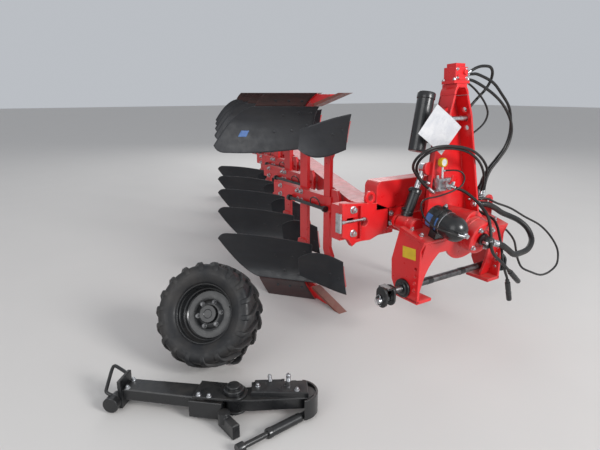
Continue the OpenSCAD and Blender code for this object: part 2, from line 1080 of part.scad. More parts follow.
// Frame of reference: the middle of the footprint, from the ground point under the cross shaft
loose_left_x = -2335;
front_edge_y = -400;
back_edge_y = body_y(body_count - 1) + 1120;
right_edge_x = beam_x(body_y(body_count - 1) + leg_y + beam_over) + beam_half_x;
origin_x = (loose_left_x + right_edge_x) / 2;
origin_y = (front_edge_y + back_edge_y) / 2;

cross_shaft();
shaft_flanges();
link_couplers();
coupler_pins();
linch_pins();
side_brackets();
front_plate();
top_plate();
turnover_drum();
drum_cap();
mast();
top_link_pin();
paper_tag();
rotary_valve();
valve_block();
pressure_gauge();
accumulator();
accumulator_clamp();
document_tube();
turnover_barrel();
turnover_rod();
turnover_shaft();
turnover_crank();
turnover_arm();
swing_pin();
adjuster_rod();
main_beam();
beam_head();
leg_carriers();
carrier_stays();
legs_lower();
legs_upper();
frogs_lower();
frogs_upper();
landsides_lower();
landsides_upper();
points_lower();
points_upper();
shares_lower();
shares_upper();
mouldboards_lower();
mouldboards_upper();
skimmer_stalks();
skimmers_lower();
skimmers_upper();
stand_sleeve();
parking_stand();
wheel_tyre();
wheel_rim();
wheel_bracket();
wheel_arm();
wheel_arm_handle();
wheel_arm_link();
wheel_arm_cylinder();
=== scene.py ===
"""Looks of a mounted reversible moldboard plough: finishes, shaped pieces, hoses, camera and studio.

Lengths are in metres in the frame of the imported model: +Z up, -Y the direction of travel.
"""

import json
import math

import bmesh
import bpy
import numpy as np
from bpy.props import FloatProperty, FloatVectorProperty, PointerProperty
from bpy.types import Operator, Panel, PropertyGroup
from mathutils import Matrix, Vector
from mathutils.geometry import tessellate_polygon


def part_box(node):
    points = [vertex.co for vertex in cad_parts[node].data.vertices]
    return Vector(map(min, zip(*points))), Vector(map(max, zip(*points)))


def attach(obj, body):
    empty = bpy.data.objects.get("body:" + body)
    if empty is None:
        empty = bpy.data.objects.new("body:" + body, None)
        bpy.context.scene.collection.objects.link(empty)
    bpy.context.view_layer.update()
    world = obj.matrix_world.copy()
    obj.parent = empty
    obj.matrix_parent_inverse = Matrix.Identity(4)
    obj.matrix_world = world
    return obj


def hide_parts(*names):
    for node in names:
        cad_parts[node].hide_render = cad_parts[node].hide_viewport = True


bl_info = {
    "name": "Moldboard plough",
    "version": (1, 0, 0),
    "blender": (4, 5, 0),
    "location": "3D View > Sidebar > Plough",
    "description": "Finishes and shaped pieces of a mounted reversible plough",
    "category": "Object",
}

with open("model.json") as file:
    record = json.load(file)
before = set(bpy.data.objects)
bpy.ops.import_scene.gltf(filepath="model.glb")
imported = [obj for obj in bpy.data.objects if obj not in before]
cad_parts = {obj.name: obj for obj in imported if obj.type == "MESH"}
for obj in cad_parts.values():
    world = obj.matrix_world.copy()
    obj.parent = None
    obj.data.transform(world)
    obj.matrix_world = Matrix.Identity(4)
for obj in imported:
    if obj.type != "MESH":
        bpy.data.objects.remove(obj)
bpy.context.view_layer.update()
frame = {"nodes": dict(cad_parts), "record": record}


def middle(node):
    """Middle of a CAD node's box in metres, to a micrometre."""
    return [round((low + high) / 2, 6) for low, high in zip(*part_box(node))]


# The ground point under the cross shaft, from which the shaped pieces are measured
SHAFT_X, SHAFT_Y, _ = middle("cross_shaft")
# Heights in millimetres of the turnover axis, the cross shaft and the link pins
AXIS_HIGH, SHAFT_HIGH, PIN_HIGH = (round(1000 * middle(node)[2], 3)
                                   for node in ("turnover_shaft", "cross_shaft", "coupler_pins"))
# Half of the headstock's width, length of its front plate and place of the turnover axis up it
HEAD_HALF, FRONT_LONG, FRONT_AXIS = 435, 424.7, 458
FRONT_LEAN = 15
# Half widths and heights of the mast's outline at its foot, neck and top, and the depth of its walls
MAST_FOOT, MAST_NECK, MAST_TOP = (230, 0), (115, 702.2), (70, 832.2)
MAST_DEEP = 125
# Place of the accumulator's axis on the front plate
ACCUMULATOR = (-262, 551.6)
# Bodies in a row, place of the first one and step to the next, in metres from under the cross shaft
BODY_COUNT = 5
FIRST_BODY, BODY_STEP = (-0.39, 0.65), (0.42, 0.96)
# Heights of mouldboard and share, reach of the share and thickness of shares and skimmers, in millimetres
BOARD_HIGH, SHARE_HIGH, SHARE_REACH, SHARE_THICK, SKIMMER_THICK = 440.0, 105, 560, 11.0, 8.0
# Camera: place from under the cross shaft in metres, lens and sensor in millimetres, pitch down in
# degrees and level direction of the view
CAMERA_SPOT, LENS, SENSOR, PITCH = (-2.664, -2.149, 1.72), 28.8, 36.0, 15.4
CAMERA_WAY = (0.5446, 0.8387)


def place(x, y, z):
    """Point of the model from a place measured from the ground under the cross shaft."""
    return np.array([x + SHAFT_X, y + SHAFT_Y, z])


def turn_about(axis, degrees):
    """Matrix of a right-handed turn about X (0), Y (1) or Z (2)."""
    c, s = math.cos(math.radians(degrees)), math.sin(math.radians(degrees))
    a, b = (axis + 1) % 3, (axis + 2) % 3
    turn = np.eye(3)
    turn[a, a], turn[b, b], turn[a, b], turn[b, a] = c, c, -s, s
    return turn


class Seat:
    """A place with its own axes, given in millimetres from the ground under the cross shaft."""

    def __init__(self, origin, turn):
        self.origin, self.turn = np.asarray(origin, float), turn

    def at(self, x, y, z):
        """Point of the model, in metres, from millimetres in the seat's own axes."""
        return place(*((self.origin + self.turn @ np.array([x, y, z], float)) * 0.001))

    def hold(self, form, x=0.0, y=0.0, z=0.0, turn=None):
        """Form, in metres, set at a point of the seat and turned with it."""
        return form.put(self.at(x, y, z), self.turn if turn is None else self.turn @ turn)

    def line(self, points):
        """Points of the model from points in the seat's own axes."""
        return np.array([self.at(*point) for point in points])

    def way(self, x, y, z):
        """Direction of the model from one in the seat's own axes."""
        return self.turn @ np.array([x, y, z], float)


# Turns that lay a form's Z along X or Y, or a plate's x and y along Y and Z
ALONG_X, ALONG_Y = turn_about(1, 90), turn_about(0, -90)
SIDEWAYS = np.array([[0, 0, 1], [1, 0, 0], [0, 1, 0]], float)
# Seats of the headstock: ground, front plate, mast, turnover axis, cross shaft and turnover cylinder
GROUND = Seat((0, 0, 0), np.eye(3))
FRONT = Seat((0, -20, 380), turn_about(0, 90 + FRONT_LEAN))
MAST = Seat((0, 72, 870), turn_about(0, 86))
AXIS = Seat((0, 0, AXIS_HIGH), ALONG_Y)
SHAFT = Seat((0, 0, SHAFT_HIGH), ALONG_X)
RAM = Seat((-340, 127, AXIS_HIGH), turn_about(1, 24))
# Seat of the turnover casting on the swing pin, with its face to the front
CAST = Seat((-421.6, 266, AXIS_HIGH), turn_about(0, 90))
# Seats of the taken-off wheel, of the wheel arm and of the link folded at its end
WHEEL = Seat((-1615, 527, 351.93), turn_about(2, -48) @ turn_about(0, 62))
ARM = Seat((-2181, 383, 0), turn_about(2, -42))
ARM_LONG = 620
LINK = Seat(ARM.origin + ARM.way(ARM_LONG, 0, 0), turn_about(2, -30))


def colour(name, description, value):
    """Colour property of a finish, as linear red, green and blue."""
    return FloatVectorProperty(name=name, description=description, default=value, subtype="COLOR",
                               min=0.0, max=1.0, size=3)


def length(name, description, value):
    """Length property in metres."""
    return FloatProperty(name=name, description=description, default=value, min=0.0, unit="LENGTH")


class PloughColours(PropertyGroup):
    """Colours of the finishes."""

    red: colour("Red paint", "Gloss paint of frame, legs, mast and brackets", (0.70, 0.012, 0.015))
    red_shade: colour("Dull red", "The same paint where it is thin or weathered", (0.50, 0.010, 0.012))
    black: colour("Black paint", "Satin paint of cylinders, wheel and arm", (0.0075, 0.008, 0.009))
    board: colour("Board varnish", "Dark varnish of mouldboards and skimmers", (0.007, 0.008, 0.011))
    share: colour("Share primer", "Red-brown primer of the shares", (0.030, 0.014, 0.013))
    point: colour("Point primer", "Orange-red primer of the chisel points", (0.26, 0.070, 0.045))
    steel: colour("Plated steel", "Zinc plated pins, rods and nuts", (0.60, 0.61, 0.63))
    rubber: colour("Hose rubber", "Cover of the hoses", (0.006, 0.006, 0.0065))
    tyre: colour("Tyre rubber", "Rubber of the tyre", (0.011, 0.0115, 0.013))
    dust: colour("Dust", "Pale dust on upward faces and in the treads", (0.34, 0.29, 0.24))
    floor: colour("Floor", "Pale studio floor", (0.62, 0.60, 0.58))


class PloughSizes(PropertyGroup):
    """Sizes of the shaped pieces."""

    board_thickness: length("Board thickness", "Sheet of the mouldboards", 0.009)
    supply_a: length("Supply hose a", "Diameter of the hose that starts at the cap", 0.021)
    supply_b: length("Supply hose b", "Diameter of the hose that starts under the top plate", 0.018)
    edge: length("Edge", "Radius to which the edges of plates look rounded", 0.003)


class Finish:
    """A material being written: its shader and short ways to add and join nodes."""

    def __init__(self, name):
        self.material = bpy.data.materials.new(name)
        self.material.use_nodes = True
        self.tree = self.material.node_tree
        self.shader = self.tree.nodes["Principled BSDF"]
        self.spot = self.node("ShaderNodeTexCoord").outputs["Object"]

    def node(self, kind, inputs=None, **settings):
        """Add one node, set its options and join or set its inputs."""
        made = self.tree.nodes.new(kind)
        for key, value in settings.items():
            setattr(made, key, value)
        for key, value in (inputs or {}).items():
            self.put(made.inputs[key], value)
        return made

    def put(self, socket, value):
        """Join a socket to another one, or set its value."""
        if isinstance(value, bpy.types.NodeSocket):
            self.tree.links.new(value, socket)
        else:
            socket.default_value = value

    def set(self, **values):
        """Set or join inputs of the shader, named with underscores for spaces."""
        for key, value in values.items():
            if isinstance(value, tuple) and len(value) == 3 and key != "Subsurface_Radius":
                value = (*value, 1.0)
            self.put(self.shader.inputs[key.replace("_", " ")], value)

    def math(self, operation, *values, clamp=False):
        """One arithmetic step on numbers or sockets."""
        made = self.node("ShaderNodeMath", dict(enumerate(values)), operation=operation, use_clamp=clamp)
        return made.outputs[0]

    def noise(self, scale, detail=4.0, roughness=0.55, stretch=None, distortion=0.0):
        """Cloudy value of the place on the piece, between 0 and 1."""
        spot = self.spot
        if stretch is not None:
            spot = self.node("ShaderNodeMapping", {"Vector": spot, "Scale": stretch}).outputs[0]
        values = {"Vector": spot, "Scale": scale, "Detail": detail, "Roughness": roughness,
                  "Distortion": distortion}
        return self.node("ShaderNodeTexNoise", values).outputs["Fac"]

    def band(self, value, low, high, to_low=0.0, to_high=1.0):
        """Stretch the part of a value between low and high to a new range, held at its ends."""
        inputs = {"Value": value, "From Min": low, "From Max": high, "To Min": to_low, "To Max": to_high}
        return self.node("ShaderNodeMapRange", inputs, clamp=True).outputs["Result"]

    def blend(self, share, first, second, kind="MIX"):
        """Mix two colours by a share."""
        made = self.node("ShaderNodeMix", data_type="RGBA", blend_type=kind, clamp_factor=True)
        for index, value in ((0, share), (6, first), (7, second)):
            if isinstance(value, tuple) and len(value) == 3:
                value = (*value, 1.0)
            self.put(made.inputs[index], value)
        return made.outputs[2]

    def edges(self, radius):
        """Rounded normal of the edges, and a mask that is 1 on them."""
        bevel = self.node("ShaderNodeBevel", {"Radius": radius}, samples=6).outputs[0]
        normal = self.node("ShaderNodeNewGeometry").outputs["Normal"]
        dot = self.node("ShaderNodeVectorMath", {0: bevel, 1: normal}, operation="DOT_PRODUCT")
        return bevel, self.band(dot.outputs["Value"], 0.985, 0.90)

    def facing_up(self):
        """Share by which a face looks up."""
        normal = self.node("ShaderNodeNewGeometry").outputs["Normal"]
        return self.node("ShaderNodeSeparateXYZ", {0: normal}).outputs["Z"]

    def bump(self, *layers, normal=None):
        """Raise the surface by layers of (height, distance in metres, strength)."""
        for height, distance, strength in layers:
            inputs = {"Height": height, "Distance": distance, "Strength": strength}
            if normal is not None:
                inputs["Normal"] = normal
            normal = self.node("ShaderNodeBump", inputs).outputs[0]
        self.put(self.shader.inputs["Normal"], normal)


def painted(name, base, shade, dust, edge, rough=0.32, edge_highlight_and_wear=(0.75, 0.30, 0.28), edge_highlight_and_wear_share=0.5,
            dust_share=0.35):
    """Sprayed paint: cloudy tone, orange peel, paler edges that are partly chipped paint and partly painted
    highlight, and dust where faces look up.
    """
    made = Finish(name)
    normal, rim = made.edges(edge)
    clouds = made.noise(2.2, 5.0)
    tone = made.blend(made.band(clouds, 0.35, 0.70), base, shade)
    streaks = made.noise(9.0, 6.0, stretch=(1.0, 1.0, 0.25))
    tone = made.blend(made.band(streaks, 0.52, 0.80, 0.0, 0.35), tone, shade)
    # Paler patches along the edges are partly chipped paint and partly painted highlight: the pink on red
    # paint stands in for light along the edges
    edge_patches = made.band(made.noise(55.0, 6.0, 0.65), 0.52, 0.62)
    tone = made.blend(made.math("MULTIPLY", made.math("MULTIPLY", rim, edge_patches), edge_highlight_and_wear_share), tone, edge_highlight_and_wear)
    lying, patches = made.band(made.facing_up(), 0.35, 0.95), made.band(made.noise(14.0, 7.0), 0.35, 0.7)
    settled = made.math("MULTIPLY", made.math("MULTIPLY", lying, patches), dust_share)
    tone = made.blend(settled, tone, dust)
    gloss = made.band(made.noise(23.0, 5.0), 0.3, 0.7, rough - 0.06, rough + 0.10)
    gloss = made.math("ADD", gloss, made.math("MULTIPLY", settled, 0.5))
    made.set(Base_Color=tone, Roughness=gloss, Coat_Weight=0.25, Coat_Roughness=0.12)
    made.bump((made.noise(420.0, 2.0), 0.0006, 0.16), (made.noise(30.0, 3.0), 0.002, 0.10), normal=normal)
    return made.material


def varnished(name, base, tint, dust, edge, rough=0.42):
    """Dark varnish on pressed steel: faint streaks along the sheet, dry patches and a dusty bloom."""
    made = Finish(name)
    normal, rim = made.edges(edge)
    streaks = made.noise(5.0, 6.0, stretch=(0.8, 0.8, 5.0), distortion=0.4)
    tone = made.blend(made.band(streaks, 0.35, 0.70), base, tint)
    bloom = made.math("MULTIPLY", made.band(made.noise(3.1, 6.0), 0.42, 0.75), 0.03)
    tone = made.blend(bloom, tone, dust)
    rubbed = made.band(made.noise(70.0, 5.0), 0.5, 0.62)
    bare = made.math("MULTIPLY", made.math("MULTIPLY", rim, rubbed), 0.5)
    tone = made.blend(bare, tone, (0.25, 0.24, 0.23))
    gloss = made.band(made.noise(16.0, 6.0), 0.3, 0.7, rough - 0.08, rough + 0.12)
    made.set(Base_Color=tone, Roughness=gloss, Specular_IOR_Level=0.55)
    made.bump((made.noise(300.0, 3.0), 0.0005, 0.15), (made.noise(12.0, 3.0), 0.003, 0.10), normal=normal)
    return made.material


def plated(name, base, edge, rough=0.30):
    """Zinc plated and turned steel: fine scratches, dull clouds and grime."""
    made = Finish(name)
    normal, rim = made.edges(edge)
    clouds = made.noise(18.0, 5.0)
    tone = made.blend(made.band(clouds, 0.35, 0.75, 0.0, 0.6), base, (0.36, 0.36, 0.36))
    grime = made.math("MULTIPLY", made.band(made.noise(42.0, 6.0), 0.55, 0.75), 0.45)
    tone = made.blend(grime, tone, (0.10, 0.09, 0.08))
    gloss = made.band(made.noise(60.0, 4.0), 0.3, 0.7, rough - 0.08, rough + 0.16)
    made.set(Base_Color=tone, Roughness=gloss, Metallic=1.0)
    made.bump((made.noise(260.0, 2.0, stretch=(1.0, 1.0, 6.0)), 0.0004, 0.2), normal=normal)
    return made.material


def rubber(name, base, dust, rough=0.62, dust_share=0.22):
    """Rubber: matt, with a fine grain and dust rubbed into it."""
    made = Finish(name)
    clouds = made.band(made.noise(8.0, 6.0), 0.4, 0.72)
    tone = made.blend(made.math("MULTIPLY", clouds, dust_share), base, dust)
    gloss = made.band(made.noise(40.0, 5.0), 0.3, 0.7, rough - 0.10, rough + 0.10)
    made.set(Base_Color=tone, Roughness=gloss, Specular_IOR_Level=0.4)
    made.bump((made.noise(500.0, 2.0), 0.0005, 0.25), (made.noise(45.0, 3.0), 0.001, 0.15))
    return made.material


def sheet_of_paper(name):
    """White paper in a clear sleeve: faint creases under a gloss, and painted shade that follows the crease
    relief.
    """
    made = Finish(name)
    crease_relief_and_shade = made.noise(11.0, 3.0, distortion=1.2)
    # Painted shade: the paper turns bluish grey where the crease relief rises
    made.set(Base_Color=made.blend(made.band(crease_relief_and_shade, 0.3, 0.7), (0.62, 0.62, 0.63), (0.50, 0.51, 0.54)),
             Roughness=made.band(made.noise(35.0, 3.0), 0.3, 0.7, 0.22, 0.4), Coat_Weight=0.5,
             Coat_Roughness=0.08)
    made.bump((crease_relief_and_shade, 0.004, 0.25))
    return made.material


def plastic(name, base, shade, rough=0.35):
    """Moulded plastic with a faint grain."""
    made = Finish(name)
    made.set(Base_Color=made.blend(made.band(made.noise(25.0, 4.0), 0.35, 0.7), base, shade),
             Roughness=made.band(made.noise(50.0, 4.0), 0.3, 0.7, rough - 0.05, rough + 0.08))
    made.bump((made.noise(600.0, 2.0), 0.0003, 0.15))
    return made.material


FINISHES = {}


def write_finishes(colours, sizes):
    """Write every finish once, by the name of the record's slot."""
    red, shade, black = tuple(colours.red), tuple(colours.red_shade), tuple(colours.black)
    board, share, point = tuple(colours.board), tuple(colours.share), tuple(colours.point)
    hose, tyre, dust, edge = tuple(colours.rubber), tuple(colours.tyre), tuple(colours.dust), sizes.edge
    # Colours of the paler edge patches on black paint and on the points: partly chipped paint, partly painted
    # highlight
    grey_edge_tone, pale_edge_tone = (0.12, 0.12, 0.12), (0.16, 0.12, 0.10)
    FINISHES.update({
        "red_paint": painted("red gloss paint", red, shade, dust, edge),
        "black_paint": painted("satin black paint", black, (0.012, 0.0125, 0.0135), dust, edge, 0.30,
                               grey_edge_tone, 0.4, 0.06),
        "board_steel": varnished("dark board varnish", board, (0.010, 0.0115, 0.016), dust, edge, 0.36),
        "share_steel": varnished("red-brown primer", share, (0.055, 0.018, 0.016), dust, edge, 0.5),
        "point_steel": painted("orange-red primer", point, (0.18, 0.045, 0.030), dust, edge, 0.5,
                               pale_edge_tone, 0.8),
        "plated_steel": plated("plated steel", tuple(colours.steel), edge * 0.5),
        "rubber_hose": rubber("hose rubber", hose, dust, 0.42, 0.06),
        "tyre_rubber": rubber("tyre rubber", tyre, dust, 0.50, 0.07),
        "paper": sheet_of_paper("white paper"),
        "gauge_yellow": plastic("yellow plastic", (0.72, 0.50, 0.02), (0.62, 0.42, 0.02)),
        "label_blue": plastic("blue label", (0.05, 0.13, 0.36), (0.09, 0.19, 0.42), 0.3),
        "wrap": rubber("hose wrap", tuple(1.3 * v for v in hose), dust, 0.36, 0.05),
        "dark_bolt": plated("blackened bolts", (0.10, 0.10, 0.105), edge * 0.3, 0.42),
    })


def dress(piece, slot):
    """Give a piece the finish of a slot of the record."""
    piece.data.materials.clear()
    piece.data.materials.append(FINISHES[slot])
    return piece


class Form:
    """A surface as arrays: its points, and its faces in groups with the same number of corners."""

    def __init__(self, points, faces):
        self.points = np.asarray(points, float).reshape(-1, 3)
        self.faces = [np.asarray(group, int) for group in (faces if isinstance(faces, list) else [faces])]

    def put(self, origin=(0.0, 0.0, 0.0), turn=None, size=1.0):
        """The form scaled, turned by a matrix whose columns are its new axes, and shifted."""
        turn = np.eye(3) if turn is None else np.asarray(turn, float)
        return Form((self.points * size) @ turn.T + np.asarray(origin, float), self.faces)


def joined(forms):
    """Several forms as one."""
    points, faces, start = [], [], 0
    for form in forms:
        points.append(form.points)
        faces += [group + start for group in form.faces]
        start += len(form.points)
    return Form(np.concatenate(points), faces)


def net(rows, cols, rows_closed=False, cols_closed=False):
    """Four-cornered faces between the neighbours of a grid of rows by cols points."""
    i, j = np.meshgrid(np.arange(rows if rows_closed else rows - 1),
                       np.arange(cols if cols_closed else cols - 1), indexing="ij")
    below, beside = (i + 1) % rows, (j + 1) % cols
    corners = [i * cols + j, below * cols + j, below * cols + beside, i * cols + beside]
    return np.stack(corners, -1).reshape(-1, 4)


def ringed(radii, heights, closed=False):
    """Rings round Z: each row of radii, one for each angle, stands at its height."""
    radii = np.asarray(radii, float)
    angle = np.arange(radii.shape[1]) * 2 * np.pi / radii.shape[1]
    heights = np.broadcast_to(np.asarray(heights, float)[:, None], radii.shape)
    points = np.stack([radii * np.cos(angle), radii * np.sin(angle), heights], -1)
    return Form(points, net(*radii.shape, rows_closed=closed, cols_closed=True))


def turned(profile, sides=48, closed=False):
    """Solid of revolution round Z from pairs of radius and height."""
    profile = np.asarray(profile, float)
    return ringed(np.repeat(profile[:, :1], sides, 1), profile[:, 1], closed)


def curve(route, step):
    """Curve through the route's points: on each stretch the cubic whose slope at a point is half of the
    line between that point's neighbours."""
    route = np.asarray(route, float)
    held = np.concatenate([route[:1], route, route[-1:]])
    runs = []
    for i in range(len(route) - 1):
        a, b, c, d = held[i:i + 4]
        count = max(1, int(round(np.linalg.norm(c - b) / step)))
        t = np.arange(count)[:, None] / count
        runs.append(0.5 * (2 * b + (c - a) * t + (2 * a - 5 * b + 4 * c - d) * t ** 2
                           + (3 * b - a - 3 * c + d) * t ** 3))
    return np.concatenate(runs + [route[-1:]])


def sides_of(path):
    """Direction of a path at each point and two sides square to it, carried on without turning round it."""
    ahead = np.gradient(path, axis=0)
    ahead /= np.linalg.norm(ahead, axis=1, keepdims=True)
    side = np.array([0.0, 0.0, 1.0]) if abs(ahead[0][2]) < 0.9 else np.array([1.0, 0.0, 0.0])
    first = np.empty_like(ahead)
    for i, way in enumerate(ahead):
        side = side - side.dot(way) * way
        side = side / np.linalg.norm(side)
        first[i] = side
    return ahead, first, np.cross(ahead, first)


def swept(path, radius, sides=14):
    """Round tube: each ring is the path's point plus the radius times the cosine of the angle along one
    side and its sine along the other. A ring drawn in to the path closes each end."""
    path = np.asarray(path, float)
    radius = np.broadcast_to(np.asarray(radius, float), (len(path),))
    _, first, second = sides_of(path)
    angle = np.arange(sides) * 2 * np.pi / sides
    ring = np.cos(angle)[:, None] * first[:, None] + np.sin(angle)[:, None] * second[:, None]
    points = path[:, None] + radius[:, None, None] * ring
    closed = [np.repeat(path[:1, None], sides, 1), points, np.repeat(path[-1:, None], sides, 1)]
    return Form(np.concatenate(closed), net(len(path) + 2, sides, cols_closed=True))


def plate(outline, thickness, edge=0.0015, holes=()):
    """Flat plate over an outline and round its holes, all given left round: at both faces each line is
    drawn in by the edge, along the line that halves each corner."""
    points, walls, small, starts, start = [], [], [], [], 0
    for loop in [np.asarray(outline, float)] + [np.asarray(hole, float)[::-1] for hole in holes]:
        ahead = np.roll(loop, -1, 0) - loop
        ahead /= np.linalg.norm(ahead, axis=1, keepdims=True)
        out = np.stack([ahead[:, 1], -ahead[:, 0]], -1)
        before = np.roll(out, 1, 0)
        half = (out + before) / np.maximum(1 + (out * before).sum(1, keepdims=True), 0.35)
        drawn, count = loop - edge * half, len(loop)
        rows = [(drawn, 0.0), (loop, edge), (loop, thickness - edge), (drawn, thickness)]
        points += [np.column_stack([flat, np.full(count, z)]) for flat, z in rows]
        walls.append(net(4, count, cols_closed=True) + start)
        small.append([Vector((x, y, 0.0)) for x, y in drawn])
        starts.append(start)
        start += 4 * count
    if holes:
        runs = [(np.arange(len(loop)) + first, 3 * len(loop)) for loop, first in zip(small, starts)]
        low, high = (np.concatenate([run + k * rise for run, rise in runs]) for k in (0, 1))
        corners = np.array(tessellate_polygon(small))
        caps = [low[corners], high[corners][:, ::-1]]
    else:
        count = len(small[0])
        caps = [np.arange(count)[None, ::-1], np.arange(count)[None] + 3 * count]
    return Form(np.concatenate(points), walls + caps)


def arc(x, y, radius, start, end, steps=16):
    """Points of a circle between two angles in degrees."""
    return [(x + radius * math.cos(a), y + radius * math.sin(a))
            for a in np.radians(np.linspace(start, end, steps + 1))]


def hole(x, y, wide, steps=24):
    """Points of a whole circle, left round."""
    return arc(x, y, wide / 2, 0, 360, steps)[:-1]


def cut(outline, thickness, holes=(), edge=1.5):
    """Plate in metres from an outline and holes in millimetres."""
    return plate(outline, thickness, edge, holes).put(size=0.001)


def box(x, y, z, edge=1.5):
    """Block in metres from its sizes in millimetres, its corner at the origin."""
    return cut([(0, 0), (x, 0), (x, y), (0, y)], z, edge=edge)


def lathe(profile, sides=48, closed=False):
    """Solid of revolution in metres from pairs of radius and height in millimetres."""
    return turned(np.array(profile, float) * 0.001, sides, closed)


def rod(radius, height, edge=1.5, sides=32):
    """Round bar in metres along Z with drawn-in ends, from millimetres."""
    return lathe([(0, 0), (radius - edge, 0), (radius, edge), (radius, height - edge),
                  (radius - edge, height), (0, height)], sides)


def bead(seat, route, wide=5.0):
    """Weld bead along a route of a seat in millimetres: a thin tube whose radius ripples along it."""
    path = curve(seat.line(route), 0.0025)
    ripple = 1 + 0.16 * np.sin(np.arange(len(path)) * 2.1)
    return swept(path, wide * 0.0005 * ripple, 8)


def axes(direction):
    """Matrix whose columns are the axes of a form that stands along a direction."""
    up = np.asarray(direction, float) / np.linalg.norm(direction)
    side = np.cross((0.0, 0.0, 1.0), up)
    if np.linalg.norm(side) < 1e-3:
        side = np.cross((1.0, 0.0, 0.0), up)
    side = side / np.linalg.norm(side)
    return np.column_stack([side, np.cross(up, side), up])


# Points round a nut
NUT_STEPS = 18


def six_sided():
    """Radius of a hexagon with a width over flats of 1, by angle."""
    angle = np.arange(NUT_STEPS) * 2 * np.pi / NUT_STEPS
    return 0.5 / np.cos((angle + np.pi / 6) % (np.pi / 3) - np.pi / 6)


def from_rings(rings):
    """Nut-like form from pairs of a ring's radii, or one radius, and its height."""
    full = np.ones(NUT_STEPS)
    return ringed([radius * full for radius, _ in rings], [height for _, height in rings])


def bolt_head(washer=True):
    """Bolt end for a width over flats of 1: washer, chamfered hexagon, end of the thread."""
    six = six_sided()
    foot = [(0, 0.0), (0.70, 0.0), (0.74, 0.03), (0.74, 0.09), (0.70, 0.12)] if washer else [(0, 0.12)]
    head = [(six, 0.12), (six, 0.56), (np.minimum(six, 0.52), 0.66)]
    return from_rings(foot + head + [(0.36, 0.66), (0.36, 0.82), (0.31, 0.88), (0, 0.88)])


def domed_head():
    """Countersunk bolt head for a diameter of 1, standing a little proud of the sheet."""
    return turned([(0, -0.1), (0.50, -0.1), (0.50, 0.02), (0.47, 0.06), (0.30, 0.10), (0.0, 0.115)], 20)


def set_bolts(seat, spots, way, width):
    """Bolts of one width in metres at places of a seat, all standing along one direction of it."""
    form, turn = bolt_head(), axes(seat.way(*way))
    return joined([form.put(seat.at(*spot), turn, width) for spot in spots])


def welded(form):
    """Points that lie on each other become one, and faces that shrink to a line go."""
    keys = np.round(form.points * 1e6).astype(np.int64)
    _, first, inverse = np.unique(keys, axis=0, return_index=True, return_inverse=True)
    inverse = inverse.reshape(-1)
    corners, counts = [], []
    for group in form.faces:
        group = inverse[group]
        same = group == np.roll(group, 1, axis=1)
        for lost in range(group.shape[1] - 2):
            chosen = same.sum(axis=1) == lost
            if chosen.any():
                kept = group[chosen][~same[chosen]]
                corners.append(kept)
                counts.append(np.full(int(chosen.sum()), group.shape[1] - lost))
    return form.points[first], np.concatenate(corners), np.concatenate(counts)


def mesh_piece(name, forms, slot, body, replaced=(), crease=38.0):
    """Object of forms, with its finish, riding on a body and standing for CAD nodes. Faces that meet
    at more than the crease angle keep a hard edge."""
    points, corners, counts = welded(joined(forms) if isinstance(forms, list) else forms)
    data = bpy.data.meshes.new(name)
    data.vertices.add(len(points))
    data.vertices.foreach_set("co", points.ravel())
    data.loops.add(len(corners))
    data.loops.foreach_set("vertex_index", corners)
    data.polygons.add(len(counts))
    data.polygons.foreach_set("loop_start", np.concatenate([[0], np.cumsum(counts)[:-1]]))
    data.update(calc_edges=True)
    data.validate()
    shell = bmesh.new()
    shell.from_mesh(data)
    bmesh.ops.recalc_face_normals(shell, faces=shell.faces)
    shell.to_mesh(data)
    shell.free()
    data.polygons.foreach_set("use_smooth", np.ones(len(data.polygons), bool))
    data.set_sharp_from_angle(angle=math.radians(crease))
    data.update()
    piece = bpy.data.objects.new(name, data)
    bpy.context.scene.collection.objects.link(piece)
    dress(piece, slot)
    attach(piece, body)
    if replaced:
        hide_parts(*replaced)
    return piece


def head_piece(name, forms, slot, *replaced, crease=38.0):
    """Piece that rides on the headstock and stands for the named CAD nodes."""
    return mesh_piece(name, forms, slot, "headstock", replaced, crease)


